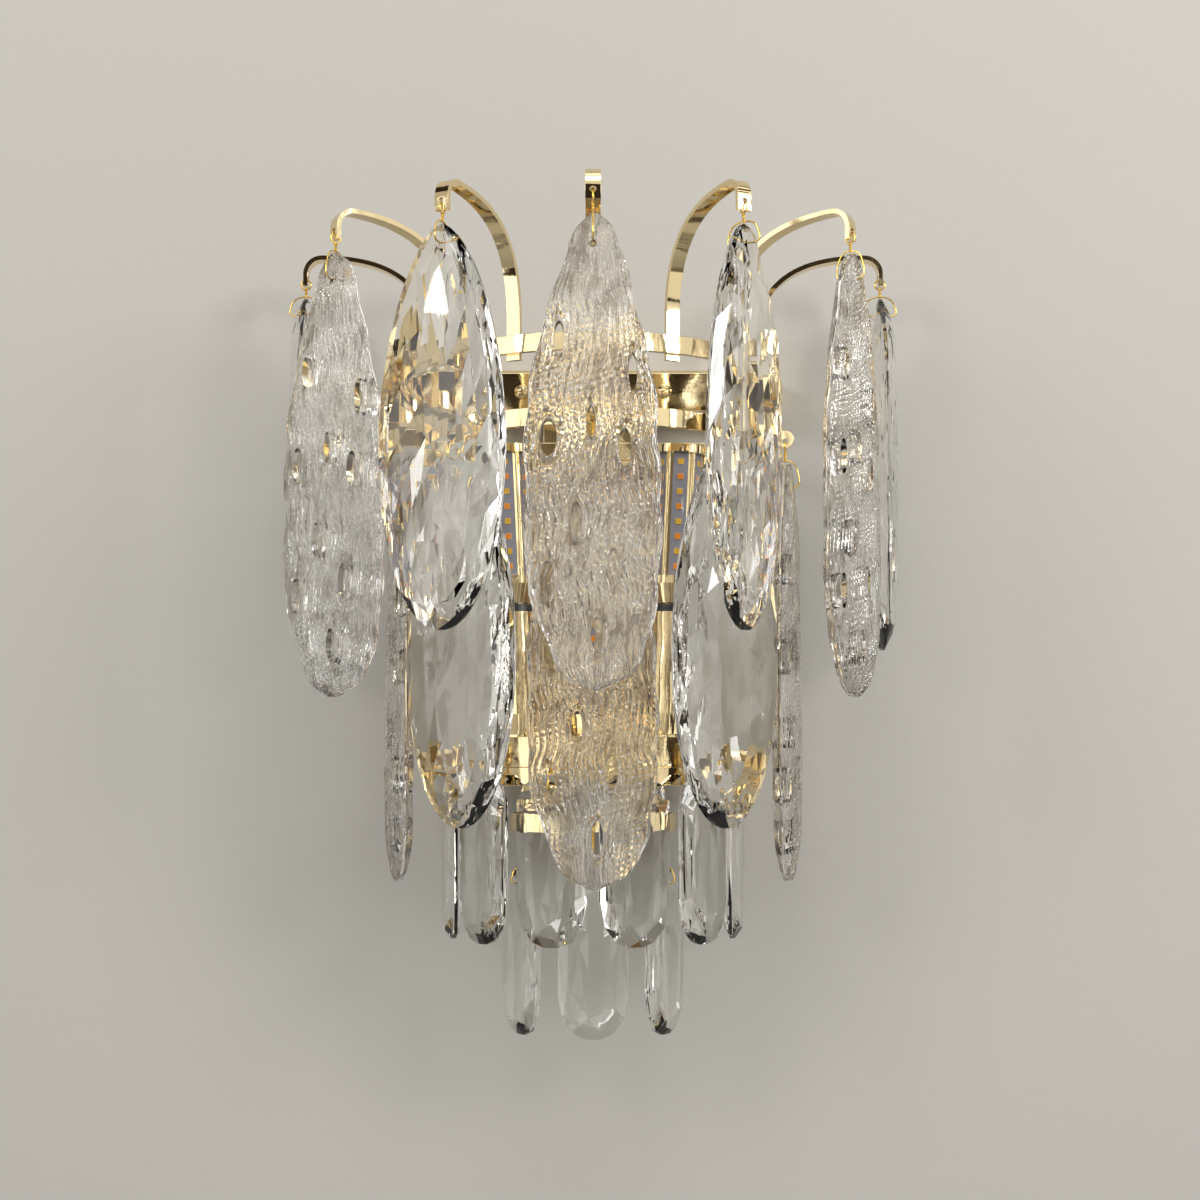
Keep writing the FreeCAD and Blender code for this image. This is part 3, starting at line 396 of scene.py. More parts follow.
def bark_surface(size, seed, columns, rows, back):
    """Grid of one face of the cast slab: across, depth, down, and the cells to drop.

    u runs from -1 to 1 across. Depth is a flat oval section (1 - |u|^4)^0.5 that thins
    towards both ends, plus ridges cos^2 of the bent distance across, broken in patches
    into beads by a cosine down each ridge, a slow swell, and a raised lip at each oval.
    """
    rng = np.random.default_rng(seed)
    phase = rng.uniform(0, 2 * np.pi, 8)
    # the rows stand closer together towards both ends
    turn = 0.5 - 0.5 * np.cos(np.pi * np.linspace(0, 1, rows))
    share = (0.75 * np.linspace(0, 1, rows) + 0.25 * turn)[:, None]
    u = np.linspace(-1, 1, columns)[None, :]
    left, right = smooth_edge(BARK_LEFT, share), smooth_edge(BARK_RIGHT, share)
    # both edges wave in and out by up to 1.4 mm, but not at the ends, where the rows bow
    calm_ends = np.clip(np.minimum(share, 1 - share) / 0.08, 0, 1)
    left = left - calm_ends * (0.7 + 0.7 * np.sin(2 * np.pi * 6.3 * share + phase[0]))
    right = right - calm_ends * (0.7 + 0.7 * np.sin(2 * np.pi * 7.1 * share + phase[5]))
    x = np.where(u < 0, u * left, u * right)
    z = share * size["length"] * np.ones_like(u)
    ends = np.clip(np.minimum(share / 0.03, (1 - share) / 0.03), 0, 1)
    bow = (1 - np.sqrt(1 - (np.abs(u) * 0.98) ** 2)) * (1 - ends) * 2.4
    z = z + np.where(share < 0.5, bow, -bow)
    hang = (0.0, size["hole_drop"], HOLE_RADIUS, HOLE_RADIUS)
    x, z, dropped, lip = pierced(x, z, BARK_HOLES + (hang,))
    # s counts across the ridges, which run half straight and half with the outline
    s = 0.5 * x + 0.5 * u * size["width"] / 2
    s = (s + 1.5 * np.sin(2 * np.pi * z / 47 + 1.4 * u + phase[0])
         + 0.7 * np.sin(2 * np.pi * z / 19 + 2 * u + phase[1]))
    ridge = np.cos(np.pi * s / RIDGE_PITCH) ** 2
    number = np.round(s / RIDGE_PITCH)
    along = z + 0.6 * np.sin(z / 5 + number)
    bead = 0.5 + 0.5 * np.cos(2 * np.pi * along / BEAD_LENGTH + 2.4 * number + phase[2])
    patch = 0.5 + (0.5 * np.sin(2 * np.pi * z / 61 + 0.09 * x + phase[3])
                   * np.cos(0.13 * x + z / 17 + phase[4]))
    swell = (0.5 * np.sin(z / 9.5 + phase[5] + 0.05 * x) * np.cos(x / 8.0 + phase[6])
             + 0.4 * np.sin(z / 23 + phase[7]))
    # calm is 0 at the lips of the piercings, edge falls off at the sides and full at the ends
    calm = np.clip((lip - 1.15) / 0.7, 0, 1)
    edge = np.sqrt(np.clip(1 - np.abs(u) ** 4, 0, 1))
    full = np.clip(np.minimum(share / 0.16, (1 - share) / 0.10), 0, 1) ** 0.7
    thick = size["thickness"] / 2 * (0.32 + 0.68 * full)
    relief = (BACK_RELIEF if back else 1.0) * calm
    body = (thick - 1.7) * edge * 0.92 + 0.55
    beaded = ridge * (1 - 0.7 * patch + 0.9 * patch * bead)
    depth = body + relief * edge * (RIDGE_HEIGHT * beaded + 0.4 * swell)
    depth = depth + 0.9 * np.exp(-((lip - 1.3) / 0.25) ** 2) * edge - 0.9 * np.clip(1.12 - lip, 0, 0.2) * 4
    depth = np.maximum(depth, 0.35)
    return x, depth, z, dropped


def bark_slab(size, seed, columns=100, rows=340):
    """Closed slab from two faces that share one grid; rims and ovals are joined by quads."""
    x, front, z, dropped = bark_surface(size, seed, columns, rows, False)
    _, back, _, _ = bark_surface(size, seed + 50, columns, rows, True)
    points = np.concatenate([np.stack([x.ravel(), -front.ravel(), -z.ravel()], 1),
                             np.stack([x.ravel(), back.ravel(), -z.ravel()], 1)])
    index = np.arange(rows * columns).reshape(rows, columns)
    a, b, c, d = index[:-1, :-1], index[:-1, 1:], index[1:, 1:], index[1:, :-1]
    keep = ~dropped
    cells = np.stack([a[keep], d[keep], c[keep], b[keep]], 1)
    mirrored = cells[:, ::-1] + rows * columns
    padded = np.ones((rows + 1, columns + 1), dtype=bool)
    padded[1:-1, 1:-1] = dropped
    walls = []
    upright = padded[1:-1, 1:] != padded[1:-1, :-1]
    r, q = np.nonzero(upright)
    flip = padded[1:-1, 1:][r, q]
    walls.append((index[r, q], index[r + 1, q], flip))
    level = padded[1:, 1:-1] != padded[:-1, 1:-1]
    r, q = np.nonzero(level)
    flip = ~padded[1:, 1:-1][r, q]
    walls.append((index[r, q], index[r, q + 1], flip))
    quads = [cells, mirrored]
    for one, two, flip in walls:
        first, second = np.where(flip, two, one), np.where(flip, one, two)
        quads.append(np.stack([first, second, second + rows * columns, first + rows * columns], 1))
    return points, quads


# ---------------------------------------------------------------- cut glass

# the corners round a drop, and the rings from girdle to table: share of outline and half thickness
DROP_CORNERS = 44
DROP_FRONT = ((1.0, 0.12), (0.84, 0.58), (0.60, 0.84), (0.32, 0.99))
DROP_BACK = ((1.0, 0.12), (0.84, 0.42), (0.68, 0.64), (0.50, 0.80), (0.30, 0.90), (0.08, 0.99))
PRISM_FRONT = ((1.0, 0.22), (0.72, 0.84), (0.50, 0.98))
PRISM_BACK = ((1.0, 0.22), (0.66, 0.70), (0.36, 0.92), (0.14, 0.98))
# how far a drop's corners stray from their places: across, in depth and down
WANDER = (0.8, 0.3, 1.4)
BACK_STEP = 0.45


def drop_outline(size, corners):
    """Half width share^0.62 * (1 - share)^0.5 at each corner's share of the length.

    It is drawn 0.8 % narrow, so that its many corners keep inside the solid's box.
    """
    above, below = 0.62, 0.50
    peak = above / (above + below)
    full = peak ** above * (1 - peak) ** below
    t = 2 * np.pi * (np.arange(corners) + 0.5) / corners
    share = (1 - np.cos(t)) / 2
    x = np.sign(np.sin(t)) * size["width"] / 2 * 0.992 * share ** above * (1 - share) ** below / full
    z = -(share - share.min()) / (share.max() - share.min()) * size["length"]
    return np.stack([x, z], 1)


def prism_outline(size):
    """Straight sides with a short point above and a longer rounded one below."""
    w, h = size["width"] / 2, size["length"]
    right = np.array(((0.34, 0.00), (0.80, 0.06), (1.00, 0.16), (1.00, 0.45), (1.00, 0.74),
                      (0.86, 0.88), (0.55, 0.97), (0.20, 1.00)))
    points = right * np.array([w, -h])
    return np.concatenate([points, points[::-1] * np.array([-1, 1])])


def band(low, high):
    """Triangles from one ring of point numbers to the next, of the same or half the count."""
    count = len(high)
    i = np.arange(count)
    j = (i + 1) % count
    if len(low) == count:
        return np.concatenate([np.stack([low[i], low[j], high[i]], 1),
                               np.stack([low[j], high[j], high[i]], 1)])
    a, b, c = low[2 * i], low[2 * i + 1], low[(2 * i + 2) % len(low)]
    return np.concatenate([np.stack([a, b, high[i]], 1), np.stack([b, c, high[i]], 1),
                           np.stack([c, high[j], high[i]], 1)])


def facet_side(outline, size, rows, face, rng, step):
    """Rings shrinking from the girdle to the table on one face, with a little hand wander.

    After the girdle each ring keeps every second corner, and each later ring is turned by
    half a step from the one before. The corners of a ring stand proud and sunk by turns,
    by step. The girdle and the flat table keep their depth.
    """
    mid = -size["length"] / 2
    half = size["thickness"] / 2
    squeeze = size["width"] / size["length"]
    wandering = np.array(WANDER) * size["width"] / DROP["width"]
    points, triangles, numbers, base = [], [], None, 0
    corners = outline
    for k, (scale, depth) in enumerate(rows):
        if k == 1:
            corners = outline[1::2]
        elif k > 1:
            corners = (corners + np.roll(corners, -1, 0)) / 2
        wander = rng.normal(0, 1, (len(corners), 3)) * (k > 0) * wandering
        x = corners[:, 0] * scale + wander[:, 0]
        z = mid + (corners[:, 1] - mid) * (1 - (1 - scale) * squeeze) + wander[:, 2]
        between = 0 < k < len(rows) - 1
        turns = step * (-1.0) ** np.arange(len(corners))
        y = face * np.minimum(half * depth + between * (wander[:, 1] + turns), half)
        points.append(np.stack([x, y, z], 1))
        ahead = base + np.arange(len(corners))
        if numbers is not None:
            triangles.append(band(numbers, ahead))
        numbers, base = ahead, base + len(corners)
    triangles = np.concatenate(triangles)
    table = numbers[None, :]
    if face > 0:
        triangles, table = triangles[:, ::-1], table[:, ::-1]
    return np.concatenate(points), triangles, table


def faceted(outline, size, front_rows, back_rows, seed):
    """Cut glass: a girdle all round, and rings of triangles up to a table on both faces."""
    rng = np.random.default_rng(seed)
    step = BACK_STEP * size["width"] / DROP["width"]
    front, front_faces, front_table = facet_side(outline, size, front_rows, -1, rng, 0.0)
    back, back_faces, back_table = facet_side(outline, size, back_rows, 1, rng, step)
    offset = len(front)
    i = np.arange(len(outline))
    j = (i + 1) % len(outline)
    girdle = np.stack([i + offset, j + offset, j, i], 1)
    faces = [front_faces, back_faces + offset, girdle, front_table, back_table + offset]
    return np.concatenate([front, back]), faces


def drill(piece, size, body, yaw):
    """Cuts the hanging hole with a short round cutter, then makes the result the mesh."""
    count = 20
    i = np.arange(count)
    j = (i + 1) % count
    angle = 2 * np.pi * i / count
    ring = HOLE_RADIUS * np.stack([np.cos(angle), 0 * angle, np.sin(angle)], 1)
    top = -GLASS_BELOW_HINGE[tier_of(body)] - size["hole_drop"]
    points = np.concatenate([ring + [0, -size["thickness"], top], ring + [0, size["thickness"], top]])
    sides = np.stack([i, j, j + count, i + count], 1)
    cutter = new_piece("cutter", hung(points, body, yaw), [sides, i[None, ::-1], i[None, :] + count], [])
    cut = piece.modifiers.new("hole", "BOOLEAN")
    cut.operation = "DIFFERENCE"
    cut.object = cutter
    cut.solver = "EXACT"
    bpy.context.view_layer.update()
    done = bpy.data.meshes.new_from_object(piece.evaluated_get(bpy.context.evaluated_depsgraph_get()))
    piece.modifiers.clear()
    piece.data = done
    bpy.data.objects.remove(cutter)


# ---------------------------------------------------------------- wires

EYE_RADIUS, WIRE_RADIUS, WIRE_SIDES = 2.75, 0.42, 8
STRAND_RADIUS, TWIST_LENGTH = 0.40, 2.6


def rounded(corners, times):
    """Closed smooth path: each side is cut at its quarters, again and again."""
    path = np.asarray(corners, dtype=float)
    for _ in range(times):
        ahead = np.roll(path, -1, 0)
        path = np.stack([0.75 * path + 0.25 * ahead, 0.25 * path + 0.75 * ahead], 1).reshape(-1, 3)
    return path


def hanger(size, tier, yaw):
    """Eye, twisted neck and loop of one wire, drawn about its hinge.

    The eye is a circle; the neck is two strands (r cos t, r sin t, z) with t turning down
    the neck; the loop is a smoothed polygon through the glass's hole.
    """
    across = tier in (2, 3)
    t = 2 * np.pi * np.arange(40) / 40
    centre = np.array([0, 0, -EYE_RADIUS]) if across else np.zeros(3)
    side = np.array([0.0, 1, 0]) if across else np.array([1.0, 0, 0])
    round_path = np.stack([np.sin(t) if across else 0 * t, 0 * t if across else np.sin(t), np.cos(t)], 1)
    parts = [tube(centre + EYE_RADIUS * round_path, side, WIRE_RADIUS, WIRE_SIDES, True)]
    # the neck starts in the eye's foot and ends in the top of the loop
    foot = centre[2] - EYE_RADIUS
    top = -GLASS_BELOW_HINGE[tier]
    loop_top = top + 1.4
    neck = np.linspace(foot + 0.6, loop_top - 0.4, 60)
    twist = (neck - neck[0]) * 2 * np.pi / TWIST_LENGTH
    for half_turn in (0, np.pi):
        radial = np.stack([np.cos(twist + half_turn), np.sin(twist + half_turn), 0 * twist], 1)
        strand = radial * WIRE_RADIUS + np.stack([0 * neck, 0 * neck, neck], 1)
        parts.append(tube(strand, radial, STRAND_RADIUS, WIRE_SIDES, False))
    # the loop goes down both faces of the glass, and its run lies on top of the hole
    run_z = top - size["hole_drop"] + HOLE_RADIUS - 0.6
    reach = size["thickness"] / 2 + 0.95
    knee = top - size["hole_drop"] * 0.45
    corners = [[0, -reach * 0.62, loop_top], [0, reach * 0.62, loop_top], [0, reach, knee], [0, reach, run_z],
               [0, -reach, run_z], [0, -reach, knee]]
    loop, quads = tube(rounded(corners, 3), np.array([1.0, 0, 0]), WIRE_RADIUS, WIRE_SIDES, True)
    turn = math.radians(yaw)
    loop = np.stack([loop[:, 0] * math.cos(turn) - loop[:, 1] * math.sin(turn),
                     loop[:, 0] * math.sin(turn) + loop[:, 1] * math.cos(turn), loop[:, 2]], 1)
    parts.append((loop, quads))
    return joined(parts)


# ---------------------------------------------------------------- LED boards

def block(x0, x1, y0, y1, z0, z1, b):
    """Block whose front (-Y) face is drawn in by a bevel b, as points and quads."""
    points = np.array([[x0, y1, z0], [x1, y1, z0], [x1, y1, z1], [x0, y1, z1],
                       [x0, y0 + b, z0], [x1, y0 + b, z0], [x1, y0 + b, z1], [x0, y0 + b, z1],
                       [x0 + b, y0, z0 + b], [x1 - b, y0, z0 + b],
                       [x1 - b, y0, z1 - b], [x0 + b, y0, z1 - b]])
    quads = [[0, 3, 2, 1], [8, 9, 10, 11]]
    for k in range(4):
        n = (k + 1) % 4
        quads += [[k, n, n + 4, k + 4], [k + 4, n + 4, n + 8, k + 8]]
    return points, np.array(quads)


# lamps, by side: -1 left, 0 middle, 1 right; heights count from the foot of their cups
LAMP_X, LAMP_Y, LAMP_TILT = 40.0, -72.5, 2.7
CUP_FOOT_Z, CUP_FLOOR, SLEEVE_RADIUS = -194.9, 2.0, 12.2
RIM_Z = {-1: 64.5, 0: 10.5, 1: 64.5}
CORE_ABOVE_RIM, CORE_HEIGHT, CORE_APOTHEM = 18.95, 66.0, 9.6
BOARD_SIDES, BOARD_WIDTH, BOARD_THICKNESS = 6, 8.0, 1.2
CHIPS_A_BOARD, CHIP_SIZE, CHIP_PITCH = 8, 3.3, 8.0
# height of a chip's pale body and of the phosphor on it, and the rim left round the phosphor
CHIP_BODY, CHIP_TOP, CHIP_RIM = 0.5, 0.7, 0.15


def leaned(points, side):
    """Leans lamp points outwards on the floor of their cup and stands them on the tray."""
    tilt = math.radians(LAMP_TILT * side)
    z = points[:, 2] - CUP_FLOOR
    x = points[:, 0] * math.cos(tilt) + z * math.sin(tilt)
    z = -points[:, 0] * math.sin(tilt) + z * math.cos(tilt) + CUP_FLOOR
    lift = abs(side) * SLEEVE_RADIUS * math.sin(math.radians(LAMP_TILT))
    return np.stack([x + side * LAMP_X, points[:, 1] + LAMP_Y, z + CUP_FOOT_Z + lift], 1)


# ---------------------------------------------------------------- settings

class SconceMetal(bpy.types.PropertyGroup):
    """Colours and finish of the metal."""

    gold: FloatVectorProperty(name="Gilt", description="Colour of the polished strips", subtype="COLOR",
                              size=3, default=(0.87, 0.71, 0.42), min=0, max=1)
    wire: FloatVectorProperty(name="Wire", description="Colour of the hanging wires", subtype="COLOR",
                              size=3, default=(0.88, 0.60, 0.14), min=0, max=1)
    roughness: FloatProperty(name="Roughness", description="Roughness of the polished strips", default=0.05,
                             min=0.02, max=0.6)
    edge: FloatProperty(name="Edge", description="Bevel of the strips' edges in millimetres", default=0.3,
                        min=0.05, max=1.0)


class SconceGlass(bpy.types.PropertyGroup):
    """Finish of the cast and cut glass."""

    haze: FloatProperty(name="Haze", description="Roughness of the cast glass", default=0.0, min=0, max=0.4)
    tint: FloatVectorProperty(name="Tint", description="Faint colour of the glass", subtype="COLOR", size=4,
                              default=(0.99, 0.985, 0.965, 1.0), min=0, max=1)


class SconceStage(bpy.types.PropertyGroup):
    """Wall colour and lights."""

    wall: FloatVectorProperty(name="Wall", description="Colour of the wall", subtype="COLOR", size=3,
                              default=PALE_WALL, min=0, max=1)
    key: FloatProperty(name="Key light", description="Power of the left lamp", default=9.6, min=0,
                       unit="POWER")
    fill: FloatProperty(name="Fill light", description="Power of the right lamp", default=13.8, min=0,
                        unit="POWER")
    room: FloatProperty(name="Room", description="Strength of the room's own light", default=0.39, min=0)


# ---------------------------------------------------------------- operators

SMALL_GILT_NODES = ("canopy_screws", "bulb_bodies", "lamp_cups", "clamp_nuts", "candle_sleeves")
GILT_NODES = ("wall_canopy", "canopy_screws", "spine_plate", "lamp_tray", "ring_1", "ring_2", "ring_3",
              "ring_4", "top_arms", "hanging_tabs", "lamp_cups", "clamp_nuts", "candle_sleeves",
              "bulb_bodies")


class SCONCE_OT_metal(bpy.types.Operator):
    """Polish the frame, canopy, cups and bulbs, and finish the hidden metal and plastic."""

    bl_idname = "sconce.metal"
    bl_label = "Polish Metal"

    def execute(self, context):
        look = context.scene.sconce_metal
        gold = gilt("polished_gilt", look.gold, look.roughness, 0.0007)
        soft = gilt("polished_tray_gilt", look.gold, look.roughness, 0.0035)
        for node in GILT_NODES:
            material = soft if node in ("lamp_tray", "candle_sleeves") else gold
            bevel = look.edge * (0.35 if node in SMALL_GILT_NODES else 1.0)
            polished(node, "frame", material, bevel)
        steel = plain("zinc_plate", (0.55, 0.56, 0.58), 0.35, 0.15, 0.0, 1.0)
        polished("mounting_bracket", "frame", steel, 0.2)
        nylon = plain("natural_nylon", (0.80, 0.79, 0.74), 0.45)
        polished("terminal_block", "frame", nylon, 0.2)
        black = plain("black_holder", (0.012, 0.012, 0.013), 0.32, 0.3, 0.2)
        polished("lampholders", "frame", black, 0.25)
        return {"FINISHED"}


class SCONCE_OT_cast_glass(bpy.types.Operator):
    """Cast the ridged slabs with their oval piercings."""

    bl_idname = "sconce.cast_glass"
    bl_label = "Cast Bark Glass"

    def execute(self, context):
        look = context.scene.sconce_glass
        # 0.60 is the share of painted shade in the cast glass's upright streaks
        glass = clear_glass("cast_glass", look.haze, look.tint, 0.00014, 620.0, 0.60)
        names = sorted(name for name in frame["nodes"] if "_bark_" in name)
        for seed, node in enumerate(names):
            body = node.replace("_bark_", "_")
            points, quads = bark_slab(BARK, seed)
            points[:, 2] -= GLASS_BELOW_HINGE[tier_of(node)]
            piece = new_piece("cast_" + node, hung(points, body, GLASS_YAW.get(body, 0)), quads, [glass])
            attach(piece, body, node)
        return {"FINISHED"}


class SCONCE_OT_cut_glass(bpy.types.Operator):
    """Cut the faceted drops and prisms, and drill their hanging holes."""

    bl_idname = "sconce.cut_glass"
    bl_label = "Cut Drops and Prisms"

    def execute(self, context):
        look = context.scene.sconce_glass
        glass = clear_glass("cut_glass", 0.01, look.tint, 0.00002, 60.0, 0.0)
        cuts = {"drop": (drop_outline(DROP, DROP_CORNERS), DROP_FRONT, DROP_BACK),
                "prism": (prism_outline(PRISM), PRISM_FRONT, PRISM_BACK)}
        seed = 0
        for node in sorted(frame["nodes"]):
            kind = node.split("_")[2] if node.startswith("tier_") else ""
            if kind not in cuts:
                continue
            body = node.replace("_%s_" % kind, "_", 1)
            outline, front_rows, back_rows = cuts[kind]
            seed += 1
            points, faces = faceted(outline, SIZES[kind], front_rows, back_rows, seed)
            points[:, 2] -= GLASS_BELOW_HINGE[tier_of(node)]
            yaw = GLASS_YAW.get(body, 0)
            piece = new_piece("cut_" + node, hung(points, body, yaw), faces, [glass], smooth=False)
            drill(piece, SIZES[kind], body, yaw)
            attach(piece, body, node)
        return {"FINISHED"}


class SCONCE_OT_wires(bpy.types.Operator):
    """Twist the wire that each glass hangs on."""

    bl_idname = "sconce.wires"
    bl_label = "Twist Wires"

    def execute(self, context):
        look = context.scene.sconce_metal
        gold = gilt("wire_gilt", look.wire, 0.16, 0.0002)
        for node in sorted(frame["nodes"]):
            if "_wire_" not in node:
                continue
            tier = tier_of(node)
            body = node.replace("_wire_", "_")
            kind = next(kind for kind in SIZES if node.replace("_wire_", "_%s_" % kind) in frame["nodes"])
            points, quads = hanger(SIZES[kind], tier, GLASS_YAW.get(body, 0))
            piece = new_piece("twisted_" + node, hung(points, body, 0), [quads], [gold])
            attach(piece, body, node)
        return {"FINISHED"}


class SCONCE_OT_boards(bpy.types.Operator):
    """Fit the circuit boards with their rows of warm and yellow chips."""

    bl_idname = "sconce.boards"
    bl_label = "Fit LED Boards"

    def execute(self, context):
        finishes = [plain("circuit_board", (0.30, 0.285, 0.33), 0.4, 0.12, 0.3),
                    plain("orange_chip", (1.0, 0.30, 0.01), 0.35, 0.12, 0.3),
                    plain("yellow_chip", (0.90, 0.50, 0.03), 0.35, 0.12, 0.3),
                    plain("chip_body", (0.75, 0.70, 0.60), 0.4, 0.05, 0.2)]
        parts, slots = [], []
        for side in (-1, 0, 1):
            foot = RIM_Z[side] + CORE_ABOVE_RIM
            for board in range(BOARD_SIDES):
                turn = 2 * math.pi * board / BOARD_SIDES
                half, y = BOARD_WIDTH / 2, -CORE_APOTHEM - BOARD_THICKNESS
                blocks = [(block(-half, half, y, -CORE_APOTHEM, foot, foot + CORE_HEIGHT, 0.15), 0)]
                for chip in range(CHIPS_A_BOARD):
                    z = foot + CORE_HEIGHT / 2 + (chip - (CHIPS_A_BOARD - 1) / 2) * CHIP_PITCH
                    a, top = CHIP_SIZE / 2, y - CHIP_BODY
                    blocks.append((block(-a, a, top, y, z - a, z + a, 0.1), 3))
                    a = a - CHIP_RIM
                    blocks.append((block(-a, a, y - CHIP_TOP, top, z - a, z + a, 0.08), 1 + chip % 2))
                for (points, quads), slot in blocks:
                    x, y = points[:, 0], points[:, 1]
                    turned = np.stack([x * math.cos(turn) - y * math.sin(turn),
                                       x * math.sin(turn) + y * math.cos(turn), points[:, 2]], 1)
                    parts.append((leaned(turned, side), quads))
                    slots.append(np.full(len(quads), slot))
        points, quads = joined(parts)
        piece = new_piece("fitted_led_boards", points, [quads], finishes, smooth=False,
                          slots=np.concatenate(slots))
        attach(piece, "frame", "led_boards")
        return {"FINISHED"}


# blocks of light and dark in the room, as (share of the cells below it, colour)
ROOM_BLOCKS = ((0.0, (0.035, 0.026, 0.018, 1)), (0.27, (0.19, 0.16, 0.12, 1)), (0.45, (0.56, 0.54, 0.50, 1)),
               (0.63, (0.95, 0.93, 0.88, 1)), (0.85, (1.9, 1.87, 1.8, 1)))


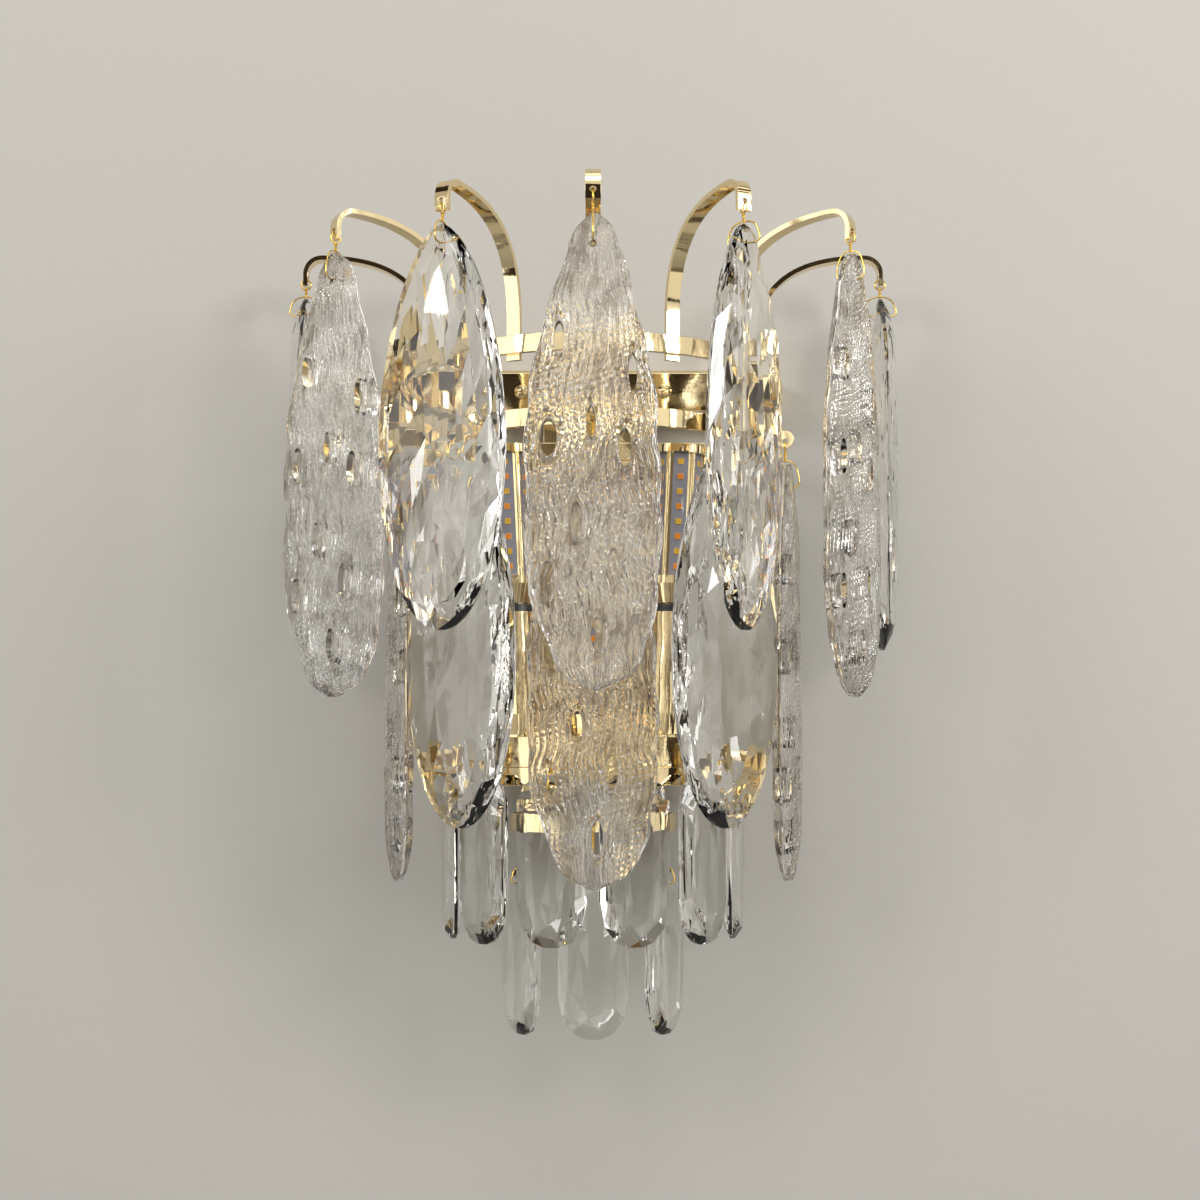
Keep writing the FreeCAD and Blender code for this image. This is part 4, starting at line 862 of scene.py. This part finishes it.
class SCONCE_OT_stage(bpy.types.Operator):
    """Set the wall, floor, soft lights and camera."""

    bl_idname = "sconce.stage"
    bl_label = "Set Stage"

    def execute(self, context):
        look = context.scene.sconce_stage
        self.wall(look)
        self.light(context, "key_light", look.key, (-1.2, -1.3, 0.65), 0.5)
        self.light(context, "fill_light", look.fill, (1.3, -1.2, 0.5), 0.5)
        self.light(context, "top_light", look.fill * 0.4, (0.1, -1.1, 1.3), 0.6)
        self.room(context, look.room)
        self.camera(context)
        return {"FINISHED"}

    def light(self, context, name, power, place, size):
        """Square lamp at a place in metres, aimed at the sconce's middle."""
        lamp = bpy.data.lights.new(name, "AREA")
        lamp.energy = power
        lamp.size = size
        lamp.color = (1.0, 1.0, 0.99)
        light = bpy.data.objects.new(name, lamp)
        light.location = place
        context.scene.collection.objects.link(light)
        away = [a - b for a, b in zip(light.location, (0.0, -0.08, -0.12))]
        flat = math.hypot(away[0], away[1])
        light.rotation_euler = (math.atan2(flat, away[2]), 0, math.atan2(away[0], -away[1]))

    def wall(self, look):
        """Wall that bends through a quarter round into a floor far below.

        It stands just behind the sconce, is open behind the canopy, and can't be seen from
        its back, so the sconce shows from behind as it would in the hand.
        """
        wall_y, bend, floor_z, side, head, front = 0.4, 300.0, -1600.0, 3000.0, 2500.0, -3500.0
        open_x, open_z, steps = 103.0, 10.0, 8
        x = np.array([-side, -open_x, open_x, side])
        angle = np.linspace(0, np.pi / 2, steps + 1)
        y = np.concatenate([[wall_y, wall_y, wall_y], wall_y - bend * (1 - np.cos(angle)), [front]])
        z = np.concatenate([[head, open_z, -open_z], floor_z + bend - bend * np.sin(angle), [floor_z]])
        rows, columns = len(y), len(x)
        points = np.stack([np.repeat(x[None], rows, 0), np.repeat(y[:, None], columns, 1),
                           np.repeat(z[:, None], columns, 1)], -1).reshape(-1, 3)
        index = np.arange(len(points)).reshape(rows, columns)
        quads = np.stack([index[:-1, :-1], index[1:, :-1], index[1:, 1:], index[:-1, 1:]], -1)
        kept = np.ones(quads.shape[:2], dtype=bool)
        kept[1, 1] = False
        paints = [self.paint("painted_wall", look.wall), self.paint("pale_floor", (0.82, 0.81, 0.79))]
        slots = np.repeat((np.arange(rows - 1) > steps / 2)[:, None], columns - 1, 1)[kept]
        piece = new_piece("wall_and_floor", points, [quads[kept]], paints, slots=slots)

    def paint(self, name, colour):
        """Matt paint with a faint roller texture, seen from its front side only."""
        shader = Shader(name)
        shade = [c * 0.97 for c in colour[:]] + [1.0]
        shader.finish(Base_Color=shader.blend(shader.noise(3.0, 3.0), shade, list(colour[:]) + [1.0]),
                      Roughness=0.8, Normal=shader.bump(shader.noise(90.0, 5.0, 0.6), 0.25, 0.0012))
        side = shader.node("ShaderNodeNewGeometry")
        through = shader.node("ShaderNodeBsdfTransparent")
        mix = shader.node("ShaderNodeMixShader", {}, i0=side.outputs["Backfacing"],
                          i1=shader.surface.outputs[0], i2=through.outputs[0])
        shader.show(mix)
        return shader.material

    def room(self, context, strength):
        """Room light: even for matt surfaces, with dark and bright blocks for polished ones.

        A ray that looks straight at it sees the wall's pale colour.
        """
        world = bpy.data.worlds.new("room")
        nodes = Nodes(world)
        rays = nodes.node("ShaderNodeLightPath").outputs
        cells = nodes.node("ShaderNodeTexVoronoi", {"distance": "CHEBYCHEV"}, Scale=3.1, Randomness=0.85,
                           Vector=nodes.node("ShaderNodeTexCoord").outputs["Generated"])
        split = nodes.node("ShaderNodeSeparateColor", {}, i0=cells.outputs["Color"])
        ramp = nodes.node("ShaderNodeValToRGB", {"stops": ROOM_BLOCKS}, i0=split.outputs[0])
        even = nodes.node("ShaderNodeBackground", {}, i0=(1.0, 0.99, 0.975, 1.0), i1=strength)
        blocks = nodes.node("ShaderNodeBackground", {}, i0=ramp.outputs[0])
        pale = nodes.node("ShaderNodeBackground", {}, i0=PALE_WALL + (1.0,))
        sharp = Value(nodes, rays["Is Glossy Ray"]).math("MAXIMUM", rays["Is Transmission Ray"])
        lit = nodes.node("ShaderNodeMixShader", {}, i0=sharp, i1=even.outputs[0], i2=blocks.outputs[0])
        seen = nodes.node("ShaderNodeMixShader", {}, i0=rays["Is Camera Ray"], i1=lit.outputs[0],
                          i2=pale.outputs[0])
        nodes.node("ShaderNodeOutputWorld", {}, i0=seen.outputs[0])
        context.scene.world = world

    def camera(self, context):
        """Camera in front of the lamps' foot, looking a little up, as the photo was taken."""
        eye = bpy.data.cameras.new("camera")
        eye.sensor_width = 36.0
        eye.lens = 56.55
        eye.shift_x = 0.0058
        eye.shift_y = 0.075
        view = bpy.data.objects.new("camera", eye)
        view.location = (0.0, -1.078, -0.2185)
        view.rotation_euler = (math.radians(90 + 2.7), 0, 0)
        context.scene.collection.objects.link(view)
        context.scene.camera = view
        context.scene.view_settings.view_transform = "Standard"


class SCONCE_PT_panel(bpy.types.Panel):
    """Sidebar panel with the sconce's settings and steps."""

    bl_label = "Crystal Wall Sconce"
    bl_idname = "SCONCE_PT_panel"
    bl_space_type = "VIEW_3D"
    bl_region_type = "UI"
    bl_category = "Sconce"

    def draw(self, context):
        for group in ("sconce_metal", "sconce_glass", "sconce_stage"):
            settings = getattr(context.scene, group)
            for name in settings.__annotations__:
                self.layout.prop(settings, name)
        for step in STEPS:
            self.layout.operator(step.bl_idname)


STEPS = (SCONCE_OT_metal, SCONCE_OT_cast_glass, SCONCE_OT_cut_glass, SCONCE_OT_wires, SCONCE_OT_boards,
         SCONCE_OT_stage)
SETTINGS = (SconceMetal, SconceGlass, SconceStage)
CLASSES = SETTINGS + STEPS + (SCONCE_PT_panel,)


def register():
    for cls in CLASSES:
        bpy.utils.register_class(cls)
    bpy.types.Scene.sconce_metal = PointerProperty(type=SconceMetal)
    bpy.types.Scene.sconce_glass = PointerProperty(type=SconceGlass)
    bpy.types.Scene.sconce_stage = PointerProperty(type=SconceStage)


def unregister():
    for name in ("sconce_metal", "sconce_glass", "sconce_stage"):
        delattr(bpy.types.Scene, name)
    for cls in reversed(CLASSES):
        bpy.utils.unregister_class(cls)


def main():
    register()
    for step in STEPS:
        group, name = step.bl_idname.split(".")
        getattr(getattr(bpy.ops, group), name)()


if __name__ == "__main__":
    main()
